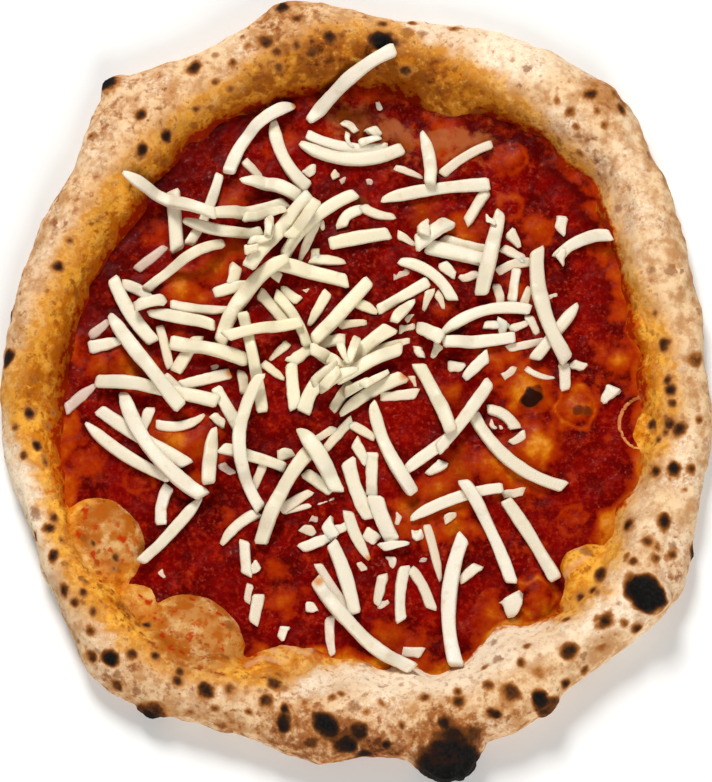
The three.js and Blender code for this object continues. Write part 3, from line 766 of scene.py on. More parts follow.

# %% [markdown]
# Where the ladle left little sauce, the dough shows through and bakes to gold. Bubbles
# that broke leave rings of dough, and their tips scorch. Against the rim the sauce has
# thinned out in some places, and in others it is painted darker, as the shadow that the
# rim casts on it. All this is kept as numbers on the mesh rather than as a texture, so it
# stays sharp from near by.

# %% Where the sauce is thin
PATCHES = [  # dough baked golden under thin sauce: x, y, radius, strength
    (62.3, 1, 9, 1.25), (80.7, -5, 8, 0.95), (67, -20, 8.5, 1.3), (59, -31, 10, 0.95),
    (51, -28, 8, 0.9), (38, -29, 8, 0.9), (30, -36, 8, 0.85), (36, -43, 7, 0.9),
    (35.6, -51, 6.5, 1.05), (46, -52, 5, 0.6), (19, -50, 5, 0.7), (65, -59, 5, 0.5),
    (79, -48, 5, 0.4), (66, -77, 6, 0.6), (73, -84, 6, 0.9), (51, -88.7, 7, 0.8),
    (35.6, -0.5, 5, 0.8), (50, 14, 6, 0.8), (57, 14, 5, 0.8), (32, 32, 5, 0.5), (26, 67.7, 6, 0.8),
    (39, 61, 8, 0.95), (58, 89, 6, 0.7), (68, 62, 6, 0.8), (93, 53, 4.5, 0.9), (61, 39, 5, 0.7),
    (90, 70, 5, 0.7), (100, 13, 6, 0.8), (99, 30, 5, 0.8), (33, 96, 10, 0.75), (-45.5, 73, 6, 0.7),
    (-65, 40.5, 7, 1.1), (-53, 46.6, 7, 0.9), (-46, 54, 6, 0.7), (-58, 36, 5, 0.8),
    (-73, 61, 7, 0.5), (-84, 9, 9, 0.9), (-95, 10, 6, 0.8), (-66, 22, 4, 0.6), (-107, 16, 6, 0.9),
    (-66.7, -18.6, 9, 1.0), (-58, -20, 8, 0.8), (-58.7, -33, 5, 0.7), (-107, -14, 7, 0.9),
    (-99, -26.7, 8, 0.6), (-80, -33, 5, 0.4), (-47, -47, 5, 0.45), (-29.4, -67, 5, 0.7),
    (-27, -78, 6, 0.8), (12, -92, 7, 0.8), (20, -96, 7, 0.7), (-13, 97, 7, 0.45), (-27, 96, 7, 0.5),
    (-4, 62, 4, 0.4), (73, -86, 8, 1.3), (52, -92, 8, 1.0), (60, -90, 6, 0.9), (50, -83, 6, 0.9),
    (20, -44, 8, 0.9), (27, -52, 6, 0.9), (97, 12, 6, 1.0), (92, 14, 5, 0.6),
]
RINGS_OF_DOUGH = [  # x, y, radius of the ring, strength
    (58, 89, 5, 0.55), (57.5, 70.5, 4.2, 0.65), (66, -77, 7, 0.95), (68.5, 62, 4.6, 0.6),
    (81.5, -6, 7.5, 0.9), (79, -48, 5, 0.5), (-80, -33, 5, 0.45), (-46, 73, 4.5, 0.5),
    (64, -1, 7, 0.5),
]
print("thin places:", len(PATCHES), " rings:", len(RINGS_OF_DOUGH))

# %% [markdown]
# The shelf is a strip of stained dough behind the cheese, with a streak of sauce on it.
# What changes slowly along the rim is given by stops once more.

# %% Shelf, tips and the sauce's edge
SHELF = [  # dough stained brown where the sauce was pushed aside: x, y, radius
    (-5, 106, 6), (2, 104, 7), (10, 101, 7), (17, 97, 7), (30, 98, 8), (39, 95, 8), (46, 96, 6),
    (15, 102, 6),
]
RED_STREAK = [(9, 109), (18, 105.5), (27, 102.5), (37, 103.5), (47, 103)]  # the corners of its line
TIPS = [  # scorched tips: x, y, radius, depth
    (64.6, -3, 3.6, 1.3), (82.2, -7.4, 1.8, 0.7), (85.8, -7.4, 1.7, 0.7), (2, 73, 2.4, 0.7),
]
THIN_EDGE = [  # degrees, and how much dough shows where the sauce thins out at the rim
    (0, 0.8), (15, 0.9), (30, 0.75), (45, 0.5), (60, 0.25), (90, 0.45), (120, 0.15), (150, 0.1),
    (170, 0.15), (185, 0.5), (200, 0.85), (220, 0.85), (235, 0.7), (250, 0.8), (265, 1.2),
    (285, 1.3), (300, 1.3), (318, 0.9), (335, 1.1), (350, 0.8),
]
WALL_SHADOW_ON_SAUCE = [  # degrees, and how much painted shadow of the rim darkens the sauce
    (0, 0.2), (30, 0.7), (50, 1), (62, 1.1), (75, 0.5), (90, 0.2), (120, 0.7), (150, 0.6),
    (180, 0.5), (200, 0.3), (240, 0.3), (300, 0.2), (330, 0.2),
]
print("tips:", len(TIPS), " places on the shelf:", len(SHELF))

# %% [markdown]
# The marks are made as on the crust, but straight from the plan, and the layer becomes
# the piece that stands for the model's sauce.

# %% Make the sauce


def most_on_sauce(spots, shape, uneven, length, seed):
    """The highest of the marks of a list of spots at every point of the sauce. shape
    turns a distance from a spot's middle and the spot's size into a mark from 0 to 1, and
    ripples of a length stretch and shrink the distance by the share uneven."""
    marked = np.zeros(x.shape)
    for number, (across, up, size, *strength) in enumerate(spots):
        wavy = 1 + uneven * ripples(flat, length, seed + number, 16)
        mark = shape(np.hypot(x - across, y - up) * wavy, size)
        marked = np.maximum(marked, mark * (strength[0] if strength else 1))
    return marked


inside = wall_foot(sauce_angle) - np.hypot(x, y) + 1.5 * ripples(flat, 9, 640)
showing = np.maximum(
    most_on_sauce(PATCHES, lambda away, size: fade(away / size), 0.16, 6, 500),
    most_on_sauce(RINGS_OF_DOUGH, lambda away, size: fade((away - size) / 1.4), 0.1, 6, 600),
)
thin_edge = round_the_rim(THIN_EDGE)(sauce_angle) * smooth_step(7, 0.5, inside)
shelf = most_on_sauce(SHELF, lambda away, size: fade(away / size), 0.16, 6, 620)
marks = {
    "showing": np.maximum(showing, thin_edge),
    "burn": most_on_sauce(TIPS, lambda away, size: patch(away / size), 0.15, 4, 650),
    "painted_wall_shadow": round_the_rim(WALL_SHADOW_ON_SAUCE)(sauce_angle) * smooth_step(16, 3, inside),
    "shelf": shelf * (1 - fade(from_line(x, y, RED_STREAK) / 2)),
}
closing = np.zeros(len(border) + 1)  # the skirt and the underside carry no marks
sauce = mesh_piece(
    "sauce_layer", sauce_points + middle_of_design, sauce_faces,
    {name: np.concatenate([values.ravel(), closing]) for name, values in marks.items()},
)
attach(sauce, "root")
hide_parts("sauce")
print("sauce (mm):", [round(v / MM, 1) for v in sauce.dimensions])

# %% [markdown]
# ## The long shreds
#
# Each shred of the model is a six-sided bar that droops over what it lies on. Its corners
# give back its middle line, and the same cubic spans as round the rim draw a smooth
# curve through that line.

# %% The lines of the long shreds
LONG_SHREDS = sorted(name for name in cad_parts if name.startswith("shred_"))


def middle_line(node):
    """The middle of each six-sided ring of a shred's solid, in order along it, and its
    width: the corners are sorted along the solid's longest direction, six by six."""
    corners = np.array([corner.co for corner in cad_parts[node].data.vertices]) / MM
    corners = np.unique(corners.round(4), axis=0) - middle_of_design
    level = corners[:, :2] - corners[:, :2].mean(0)
    longest = np.linalg.eigh(level.T @ level)[1][:, -1]
    sections = corners[np.argsort(level @ longest)].reshape(-1, 6, 3)
    spans = np.linalg.norm(sections[:, :, None, :2] - sections[:, None, :, :2], axis=-1)
    return sections.mean(1), np.median(spans.max((1, 2)))


def length_along(line):
    """Distance of each point of a line from its start."""
    return np.concatenate([[0], np.linalg.norm(np.diff(line, axis=0), axis=1).cumsum()])


def smooth_line(line, step):
    """Points at even steps on cubic Hermite spans through a line's points."""
    chord = length_along(line)
    where = np.linspace(0, chord[-1], max(7, int(chord[-1] / step) + 1))
    slopes = np.gradient(line, chord, axis=0)
    i = np.clip(np.searchsorted(chord, where, side="right") - 1, 0, len(line) - 2)
    span = (chord[i + 1] - chord[i])[:, None]
    t = (where - chord[i])[:, None] / span
    return hermite(t, line[i], line[i + 1], slopes[i] * span, slopes[i + 1] * span)


lengths = [length_along(middle_line(name)[0])[-1] for name in LONG_SHREDS]
print(len(LONG_SHREDS), "long shreds, up to", round(max(lengths), 1), "mm")

# %% [markdown]
# The curve carries a section that is nearly a rectangle, as a coarse grater cuts it. The
# shred swells and thins a little, rolls about its line and is cut off at a slant, and
# its skin is torn, most of all at the ends.

# %% The body of a shred
SECTION_POINTS = 20
SQUARENESS = 0.52  # power of the section's curve: 1 is an ellipse, 0 a rectangle


def line_directions(line):
    """Unit directions at each point of a line: along it, level to its left, and above."""
    heading = np.gradient(line, axis=0)
    heading /= np.linalg.norm(heading, axis=1, keepdims=True)
    sideways = np.cross([0, 0, 1], heading)
    sideways /= np.linalg.norm(sideways, axis=1, keepdims=True)
    return heading, sideways, np.cross(heading, sideways)


def squared(wave):
    """A sine or cosine raised to the power of squareness, keeping its sign."""
    return np.sign(wave) * np.abs(wave) ** SQUARENESS


def shred_rings(line, width, thickness, rng, taper=0.0, torn=0.012):
    """Rings of a rounded rectangle (a superellipse) carried along a line. The section
    shrinks over the last millimetre, waves in width, rolls, and leans at its ends, and
    ripples push its skin in and out by the share torn, and more so at the ends."""
    heading, sideways, above = line_directions(line)
    length = length_along(line)
    to_end = length[-1] - length
    from_end = np.minimum(length, to_end)
    soft = 0.8 + 0.2 * np.sqrt(1 - np.clip(1 - from_end / 0.8, 0, 1) ** 2)
    wave = 1 + 0.06 * np.sin(length / rng.uniform(3, 7) + rng.uniform(0, 6))
    narrow = 1 - taper * np.clip(1 - to_end / 7, 0, 1) ** 1.5
    roll = rng.uniform(-0.12, 0.12) + 0.14 * np.sin(length / 11 + rng.uniform(0, 6))
    cosine, sine = np.cos(roll)[:, None], np.sin(roll)[:, None]
    leans = rng.uniform(-0.7, 0.7, 2)
    lean = leans[0] * np.clip(1 - length / 3, 0, 1) + leans[1] * np.clip(1 - to_end / 3, 0, 1)

    turn = -np.arange(SECTION_POINTS) * 2 * math.pi / SECTION_POINTS
    across = squared(np.cos(turn)) * width / 2 * (soft * wave * narrow)[:, None]
    rise = squared(np.sin(turn)) * thickness / 2 * (soft * narrow)[:, None]
    rolled_across = across * cosine - rise * sine
    rolled_rise = across * sine + rise * cosine
    spokes = (
        sideways[:, None] * rolled_across[..., None]
        + above[:, None] * rolled_rise[..., None]
        + heading[:, None] * (rolled_across * lean[:, None])[..., None]
    )
    rough = torn * (1 + 2 * np.clip(1 - from_end / 2.5, 0, 1))[:, None]
    uneven = ripples(line[:, None] + spokes, 3.2, rng.integers(1, 10**6), 24)
    return line[:, None] + spokes * (1 + rough * uneven)[..., None]


print("points round a shred:", SECTION_POINTS)

# %% [markdown]
# Many shreds become one mesh, so that one material and one name cover them. Marks say
# how creamy each one is, where the pile is butter-yellow, which shreds have sunk into the
# sauce, how low over the sauce each point lies, for a painted reddish shade there, and
# which tips are toasted.

# %% Join shreds into a piece
TOASTED_TIPS = [(-22.5, 109.5), (18, 5.5), (-14, -71.5), (-46.5, 7), (5, -63)]  # x, y
TOASTED_REACH = 4
BUTTER_X, BUTTER_Y, BUTTER_REACH = -19, 26, 54  # the yellowest part of the pile
RED_BOUNCE_DEPTH = 1.8  # how far above the sauce a shred gets painted reddish shade


def join_shreds(name, shreds):
    """One piece from many shreds, each given as (rings, tone, soaking)."""
    points, faces, tones, soaks = [], [], [], []
    start = 0
    for rings, tone, soaked in shreds:
        body = np.concatenate([[rings[0].mean(0)], rings.reshape(-1, 3), [rings[-1].mean(0)]])
        faces += ring_faces(*rings.shape[:2], start=start)
        points.append(body)
        tones.append(np.full(len(body), tone))
        soaks.append(np.full(len(body), soaked))
        start += len(body)
    points = np.concatenate(points)
    x, y, z = points.T
    tip_gap = np.min([np.hypot(x - a, y - b) for a, b in TOASTED_TIPS], axis=0)
    marks = {
        "tone": np.concatenate(tones),
        "soaked": np.concatenate(soaks),
        "toasted": np.clip(1 - tip_gap / TOASTED_REACH, 0, 1),
        "low": np.clip(1 - (z - sauce_height(x, y)) / RED_BOUNCE_DEPTH, 0, 1),
        "butter": fade(np.hypot(x - BUTTER_X, y - BUTTER_Y) / BUTTER_REACH),
    }
    piece = mesh_piece(name, points + middle_of_design, faces, marks)
    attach(piece, "root")
    print(name, "faces:", len(faces))
    return piece


print("toasted tips:", len(TOASTED_TIPS))

# %% [markdown]
# The long shreds are a little slimmer than the model's bars, whose width is measured
# over their corners. About a third of them taper to a point.

# %% Lay the long shreds
LONG_WIDTH = 0.9  # share of the bar's width
LONG_THICKNESS = 0.66  # share of the shred's own width
TAPERING = 0.35  # share of the shreds that taper

laid = []
shreds = []
for number, name in enumerate(LONG_SHREDS):
    rng = np.random.default_rng(1000 + number)
    line, width = middle_line(name)
    line = smooth_line(line, 1.0)
    width = LONG_WIDTH * width
    thickness = LONG_THICKNESS * width
    taper = rng.uniform(0.3, 0.7) if rng.uniform() < TAPERING else 0.0
    shreds.append((shred_rings(line, width, thickness, rng, taper), rng.uniform(), 0.0))
    laid.append((line, width, thickness))
cheese = join_shreds("cheese_long_shreds", shreds)
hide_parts(*LONG_SHREDS)
print("width of the widest:", round(max(width for _, width, _ in laid), 1), "mm")

# %% [markdown]
# ## The short shreds and crumbs
#
# A grater also leaves short ends, slivers and crumbs, far too many to be parts of their
# own. Each one here is a start, an end, how far it bows and how wide it is. A height map
# of everything laid so far tells how high each one lies: most rest in the sauce with
# their ends under the long shreds, and some lie across them.

# %% A height map of the topping
CELL = 0.5
HALF = 140  # half the map's width
CELLS = int(2 * HALF / CELL)


def cells(values):
    """Row or column of the height map that holds each coordinate."""
    return np.clip(((values + HALF) / CELL).astype(int), 0, CELLS - 1)


grid = (np.arange(CELLS) + 0.5) * CELL - HALF
grid_x, grid_y = np.meshgrid(grid, grid, indexing="ij")
dough_top = dough_height(bearing(grid_x, grid_y), np.hypot(grid_x, grid_y))
bare = np.maximum(sauce_height(grid_x, grid_y), dough_top)
heights = bare.copy()


def cover(line, width, thickness):
    """Raises the map under a shred: cells nearer to its line than half its width get the
    height of its top there."""
    low, high = cells(line[:, :2].min(0) - width), cells(line[:, :2].max(0) + width)
    area = np.s_[low[0] : high[0], low[1] : high[1]]
    gaps = np.hypot(grid_x[area][..., None] - line[:, 0], grid_y[area][..., None] - line[:, 1])
    upper = np.maximum(heights[area], line[gaps.argmin(-1), 2] + thickness / 2)
    heights[area] = np.where(gaps.min(-1) < width / 2, upper, heights[area])


for line, width, thickness in laid:
    cover(line, width, thickness)
print("highest point of the pile:", heights[100:-100, 100:-100].max().round(1), "mm")

# %% [markdown]
# They could be scattered at random, but a listed pile looks more like a cook's: every
# short shred has its own row. A row may say where its shred lies, sunk in the sauce,
# under the others or over them, and how far it bows. If it doesn't, the map decides
# where it lies, and it stays nearly straight.

# %% The list of short shreds
SHORT_SHREDS = [  # start x, y, end x, y, width, where it lies, how far it bows to the left
    (-18.5, 98.5, 12, 93.5, 4.5, "under", -2.5), (-42, 65.5, -26, 67.5, 4, "over"),
    (-32.5, 64, -32, 55.5, 4.2), (-82, 46.5, -71, 55.5, 4, "sunk"),
    (-42, 88.5, -34, 80, 4, "under"), (14.5, 86, 25, 82, 3, "under"),
    (48.5, 77, 41, 64.5, 4.5, "under"), (-5.5, 62.5, 2.5, 69.5, 4.5, "", 2),
    (2, 71, 14.5, 67, 4, "", -1.5), (-14.5, 65.5, -21, 50, 4, "under"), (-13, 66, -12, 62, 3),
    (-17, 50.5, -4, 49.5, 4.5), (-15, 54.5, -15, 49, 4), (-39.5, 54, -31, 55.5, 4),
    (-41, 50, -36, 51, 4), (-44.5, 48.5, -46, 41, 5), (-53, 37.5, -40, 41, 5, "under"),
    (-87, 41, -75.5, 34, 4.5, "", 1), (-82, 31, -71, 34, 4.5, "over"),
    (-99, 21, -92, 27, 4, "sunk"), (-99, 16.5, -86, 19.5, 5, "under"),
    (-73, 25, -69, 9, 4, "under"), (-58.5, 21, -67, 7.5, 5, "under"), (-71, 6.5, -64, 0, 4),
    (-65, 2.5, -46.5, 7, 4.5), (-107.5, -7, -96.5, 2.5, 4.5, "sunk"),
    (-76, -6, -79, -15, 4.5, "under"), (-69, -35.5, -71.5, -50, 5, "", -1), (-52, 1.5, -43, -14, 5),
    (-36, 38, -24.5, 24, 5, "under"), (-28, 39, -21, 34.5, 4), (-10.5, 38, -17.5, 25, 4.5),
    (-17, 16.5, -24.5, 11, 4.5), (-24, 11, -22.5, -6.5, 5), (-25, 18.5, -32, 12, 3.5),
    (-34.5, 11, -26.5, 5, 4), (-19.5, -8, -9, 9, 6.2, "", 1.5), (-14, 18.5, -4, 20, 5),
    (-17, 15, -4, 8, 5), (4, 14, 20, 19.5, 3.5, "", 0.5), (0.5, 34, 8, 30, 4.5),
    (8, 31, 27, 42, 4.5), (-7, 25.5, 4, 26.5, 3.5), (14, 44, 20, 46, 3.5, "sunk"),
    (28, 39, 25, 31, 3.5), (16, 23.5, 22, 25, 3), (23, 24, 32, 18.5, 5.5, "over"),
    (31, 18, 28, 13, 4), (23, 17, 24, 13, 4), (9, -2, 23, -0.5, 4), (35, 65, 22, 55, 6, "over"),
    (25, 63, 25, 58, 5), (15.5, 60.5, 22, 56, 3.5), (32, 58.5, 50, 54.5, 4.5, "", -1),
    (48.5, 65.5, 52, 63, 4), (57, 61, 61, 55, 5), (54.5, 55, 63, 50, 4),
    (52.5, 45.5, 68, 49, 4, "", 1.5), (77, 67, 76, 60.5, 4.5), (60, 47, 58, 34, 4),
    (52, 41, 54, 33, 3.5), (32, 49, 37, 44, 5), (39, 42.5, 46, 45, 3.5), (56, 16.5, 70, 19.5, 3.5),
    (47.5, 25.5, 57, 25, 3.5), (54.5, 27.5, 54, 20, 4.5), (57, 24, 64, 26.5, 3.5),
    (77, 11, 77.5, 0.5, 4.5), (63, 9, 74.5, 5.5, 2.5, "", -1.5), (80, 11, 85, 9, 5),
    (96, 1.5, 91, -4, 6), (34, 10, 40, 9, 4), (49, 14, 40, 5, 5), (59, 9.5, 54.5, 5.5, 3),
    (48.5, -6.5, 59, -14, 4.5, "", 2), (62.5, -16, 57, -19.5, 4), (49.5, -11.5, 52, -13, 3),
    (32.5, -26.5, 26, -31, 5), (54, -39, 62, -37.5, 3.5), (-2, -12, 7, -17.5, 4),
    (-1.5, -10.5, -11.5, -22, 4), (-7.5, -13.5, -15.5, -18.5, 3.5),
    (-34, -27, -38, -37, 4, "under"), (-29, -24.5, -23, -23, 5), (-19, -30.5, -9, -38, 5, "under"),
    (-28, -44.5, -16.5, -37.5, 4.5), (-27, -45, -8, -40, 2.5),
    (-36, -45.5, -49.5, -57.5, 4.5, "", -1.5), (-41, -56, -40, -69, 4.5),
    (-35.5, -65, -39, -68, 4.5), (-39, -72, -40, -79, 3), (-35.5, -76, -37.5, -87, 4.5),
    (-26, -88, -28, -92.5, 4.5), (-18.5, -81, -14.5, -80.5, 5), (-20, -51, -15, -52, 4),
    (-20.5, -59, -7, -54, 4.5), (-11, -48.5, -8, -55, 5), (-7, -52, -1, -48.5, 4),
    (-3, -45, 5, -63, 4.5, "", -1), (-3, -26, 5, -48, 6, "over", -1), (-0.5, -18.5, 4, -27, 4.5),
    (6, -23, 6, -40, 5), (7, -40, 14, -57, 6.5, "over", -0.5), (9, -59, 19.5, -57.5, 3.5),
    (3, -53, 8, -56, 5), (13, -62, 13, -66, 4.5), (-14, -64.5, -2, -82, 3.5, "", -0.5),
    (-9.5, -84, -8.5, -98.5, 4, "", -0.5), (10, -68.5, 7.5, -80, 4), (8, -80, 12, -78.5, 3),
    (18, -65.5, 16.5, -86, 4.5, "", -1), (20, -66.5, 27.5, -81.5, 4.5, "", 1),
    (26, -50, 31, -71, 3.5, "", 0.5), (45, -65, 38, -71, 4.5), (57, -76.5, 57, -84.5, 8.5),
    (17, -97, 24.5, -97.5, 4), (32.5, -48.5, 37, -46, 4.5), (16, -46, 15, -50, 3.5),
    (20.5, -54, 24.5, -53, 5), (1, -64, 3, -67, 3), (-53, -8.5, -48.5, -12.5, 4),
    (-42.5, 8, -41, -1, 4, "under"), (-5, 103.5, 0, 99.5, 3, "over", 0.5),
    (5, 101, 9, 98, 5, "over"), (-3, 99, -1, 93.5, 2.5, "over", -1), (1, 95, 9, 97, 3, "over"),
    (7.5, 110, 9.5, 110, 3), (4, 80, 6, 79.5, 3, "sunk"), (-6, 80.5, -4, 81, 3, "sunk"),
    (-19, 83, -15, 85.5, 5), (-9, 84, -7, 82, 4), (-72, -67, -70, -69.5, 2.5),
    (-19, 38, -17, 39, 3), (53, -13.5, 55, -12.5, 3), (-54, 9, -51, 9.5, 3, "sunk"),
    (-50, -27, -45.5, -31, 4, "sunk"), (-17, -48, -14, -48, 3, "sunk"),
    (23.5, -63, 26, -63, 3, "sunk"), (0.5, 19, -3, 8, 4, "over"), (-13, 0, 1, 6, 4.5, "over", 0.5),
    (-1.5, 3.5, -9, -7, 4.5), (-4, -1, 5, 4, 4, "over"), (2, 1, 12, 7, 3, "over"),
    (20.5, 6, 22, 2, 3), (-6, 16, -3, 8, 3.5, "over"), (-16, 1, -7, 8, 4, "over"),
    (32, 83, 51, 95, 4, "", 1.5), (-69, 33, -47, 31.5, 3.8, "under", -0.8),
    (-74, -12, -56, -8.5, 4, "", -2.6), (71, 36, 75, 37.5, 2),
    (14, 25.5, 22, 34.5, 4.5, "over", 0.5), (18.5, 27, 23, 31.5, 2.4),
    (30, 38, 32.5, 31.5, 3.5, "under"), (62, 31.5, 64.5, 40, 4, "under"),
    (64, 29, 67.5, 22, 3.8, "under"), (75.5, 49, 77, 54, 4.5),
    (-14.6, 70.3, -25.3, 56.9, 4.5, "over", 0.6), (-12, -1.4, -6, 5.6, 4.5),
    (-32, 62.5, -33, 56, 3.2), (-33, 47.5, -28, 43, 4.4, "under"),
]
print("short shreds:", len(SHORT_SHREDS))

# %% [markdown]
# Laying a short shred takes the map's heights across its width at every step of its
# line. It droops from what holds it up along parabolas, as the long shreds do. The
# shorter a bit is, the more its skin is torn.

# %% Lay the short shreds
DROOP = 0.06  # how steeply the parabolas fall
SHORT_WIDTH = 0.91  # share of the listed width
OVER_FROM = 1.5  # a shred lies over what reaches this high above the sauce
SINKS = {"under": 0.9, "over": 0.2}  # how far a shred settles into what it lies on


def rest_on(points, width, thickness, surface):
    """Heights of a shred's middle line when it lies on a surface: the highest point under
    its width at each step, and parabolas drooping from those along its length."""
    heading = np.gradient(points, axis=0)
    heading /= np.linalg.norm(heading, axis=1, keepdims=True)
    sideways = np.stack([-heading[:, 1], heading[:, 0]], -1)
    reach = (np.linspace(-0.45, 0.45, 7) * width)[None, :, None]
    feet = points[:, None] + sideways[:, None] * reach
    felt = surface[cells(feet[..., 0]), cells(feet[..., 1])].max(1)
    along = length_along(points)
    hung = (felt[None] - DROOP * (along[:, None] - along[None]) ** 2).max(1)
    return hung + thickness / 2


short = []
placed = {"under": 0, "over": 0, "sunk": 0}
for k, (x0, y0, x1, y1, width, *rest) in enumerate(SHORT_SHREDS):
    lies, bow = rest + ["", 0][len(rest) :]
    rng = np.random.default_rng(2000 + k)
    start, end = np.array([x0, y0]), np.array([x1, y1])
    length = np.linalg.norm(end - start)
    t = np.linspace(0, 1, max(8, int(length / 0.9)))[:, None]
    left = np.array([y0 - y1, x1 - x0]) / length
    plan = start + (end - start) * t + left * 4 * (bow + rng.uniform(-0.3, 0.3)) * t * (1 - t)
    width = SHORT_WIDTH * width
    thickness = rng.uniform(0.5, 0.66) * width
    i, j = cells(plan[:, 0]), cells(plan[:, 1])
    if not lies:
        piled = (heights[i, j] - bare[i, j] > OVER_FROM).mean()
        lies = "over" if piled > 0.4 else "under"
    placed[lies] += 1
    z = rest_on(plan, width, thickness, heights if lies == "over" else bare)
    z = z - SINKS.get(lies, 0.45 * thickness + 0.4)
    line = np.concatenate([plan, z[:, None]], 1)
    torn = 0.02 + 0.16 * math.exp(-length / 5)
    rings = shred_rings(line, width, thickness, rng, rng.choice([0, 0.3, 0.6]), torn)
    short.append((rings, rng.uniform(), 1.0 if lies == "sunk" else 0.0))
    if lies != "sunk":
        cover(line, width, thickness)
bits = join_shreds("cheese_short_shreds", short)
print("where they lie:", placed)

# %% [markdown]
# ## Colours and nodes
#
# Colours are named as a colour picker gives them and turned into the linear values that
# Blender works in. The three finishes are built from the same few kinds of node, so each
# kind gets a short helper that makes it, sets it and links it. Most of a finish is coats
# of colour laid one over another, each where some noise or some mark is high.

# %% Helpers for materials


def paint(red, green, blue):
    """A linear colour from the three values of a colour picker, 0 to 255."""
    values = np.array([red, green, blue]) / 255
    linear = np.where(values <= 0.04045, values / 12.92, ((values + 0.055) / 1.055) ** 2.4)
    return (*linear.tolist(), 1.0)


def from_node(value):
    """Whether a value comes out of a node, and so has to be linked rather than set."""
    return isinstance(value, bpy.types.NodeSocket)


class Finish:
    """A new material with its node tree, its shader and its object coordinates."""

    def __init__(self, name):
        self.material = bpy.data.materials.new(name)
        self.material.use_nodes = True
        self.nodes, self.links = self.material.node_tree.nodes, self.material.node_tree.links
        self.shader = self.nodes["Principled BSDF"]
        self.place = self.nodes.new("ShaderNodeTexCoord").outputs["Object"]

    def feed(self, socket, value):
        """Puts a value or a link into a socket."""
        if from_node(value):
            self.links.new(value, socket)
        else:
            socket.default_value = value

    def add(self, kind, inputs, **settings):
        """A node of a kind, with values or links put into its inputs by name or number."""
        made = self.nodes.new("ShaderNode" + kind)
        for setting, value in settings.items():
            setattr(made, setting, value)
        for socket, value in inputs.items():
            self.feed(made.inputs[socket], value)
        return made

    def set(self, **sockets):
        """Values or links for the shader's sockets, with _ for a space."""
        for name, value in sockets.items():
            self.feed(self.shader.inputs[name.replace("_", " ")], value)

    def noise(self, size, detail=3.0, rough=0.5):
        """Cloudy noise whose blobs are about `size` millimetres across, from 0 to 1."""
        inputs = {"Vector": self.place, "Scale": 1 / (size * MM)}
        inputs.update({"Detail": detail, "Roughness": rough})
        return self.add("TexNoise", inputs).outputs["Fac"]

    def mark(self, name):
        """The attribute of that name."""
        return self.add("Attribute", {}, attribute_name=name).outputs["Fac"]

    def math(self, operation, a, b=0.0, c=0.0):
        """One step of arithmetic."""
        return self.add("Math", {0: a, 1: b, 2: c}, operation=operation).outputs[0]

    def times(self, a, b):
        """The product of two values."""
        return self.math("MULTIPLY", a, b)

    def plus(self, value, share, more):
        """A value times a share, and more."""
        return self.math("MULTIPLY_ADD", value, share, more)

    def wander(self, value, noise, reach):
        """A value pushed up and down by noise, by half the reach at most, so that a border
        drawn along it wanders."""
        return self.plus(self.math("SUBTRACT", noise, 0.5), reach, value)

    def ramp(self, value, low, high):
        """0 where the value is below low, 1 above high, and an S-shaped ramp between."""
        inputs = {"Value": value, "From Min": low, "From Max": high}
        return self.add("MapRange", inputs, interpolation_type="SMOOTHSTEP").outputs["Result"]

    def mix(self, share, first, second):
        """The first colour, turned into the second by that share. A colour is the three
        values of a colour picker, or it comes from a node."""
        first, second = (c if from_node(c) else paint(*c) for c in (first, second))
        return self.add("Mix", {0: share, 6: first, 7: second}, data_type="RGBA").outputs[2]

    def coats(self, colour, *rows):
        """Coats over a colour, one after another. A row is the coat's colour, the value it
        follows, where it starts, where it is full and, for a thin one, its share."""
        for over, value, start, full, *thin in rows:
            share = self.ramp(value, start, full)
            if thin:
                share = self.times(share, thin[0])
            colour = self.mix(share, colour, over)
        return colour

    def bump(self, height, depth, strength):
        """Relief in the shading alone, `depth` millimetres for a height of 1."""
        inputs = {"Height": height, "Distance": depth * MM, "Strength": strength}
        self.links.new(self.add("Bump", inputs).outputs["Normal"], self.shader.inputs["Normal"])


print("full white is", paint(255, 255, 255))

# %% [markdown]
# ## Baked dough
#
# Pale, floury dough is not one colour: flour lies on it in dusty patches, and heat turns
# it tan and brown in mottles from a few millimetres down to specks. The numbers stored
# on the skin say where, and noise breaks up every border.

# %% Pale dough
dough = Finish("baked_dough")
cloud, mottle, blotch = dough.noise(26), dough.noise(7, 5, 0.62), dough.noise(3.4, 4, 0.6)
freckle, grain = dough.noise(2.4, 4, 0.62), dough.noise(1.2, 3, 0.6)
tanned = dough.mark("tan")

dust = dough.times(dough.ramp(cloud, 0.4, 0.62), dough.ramp(grain, 0.25, 0.7))
dust = dough.plus(dough.mark("flour"), 0.6, dust)
freckled = dough.times(dough.ramp(freckle, 0.5, 0.66), dough.plus(tanned, 0.6, 0.4))
colour = dough.coats(
    (194, 142, 92),
    ((235, 199, 154), mottle, 0.38, 0.6),
    ((247, 226, 196), dust, 0.2, 1.3),
)
colour = dough.mix(dough.times(tanned, 0.4), colour, (196, 136, 76))
colour = dough.mix(freckled, colour, (184, 120, 62))
print("nodes so far:", len(dough.nodes))

# %% [markdown]
# The oily band is golden, deep amber in one part of the rim and orange-yellow in
# another, with a paler honey along its outer edge and fried spots all over it. That
# change round the rim is partly the oil's own browning and partly painted shade and light:
# the far wall, turned away from the key light, is painted darker, and the near wall lighter.

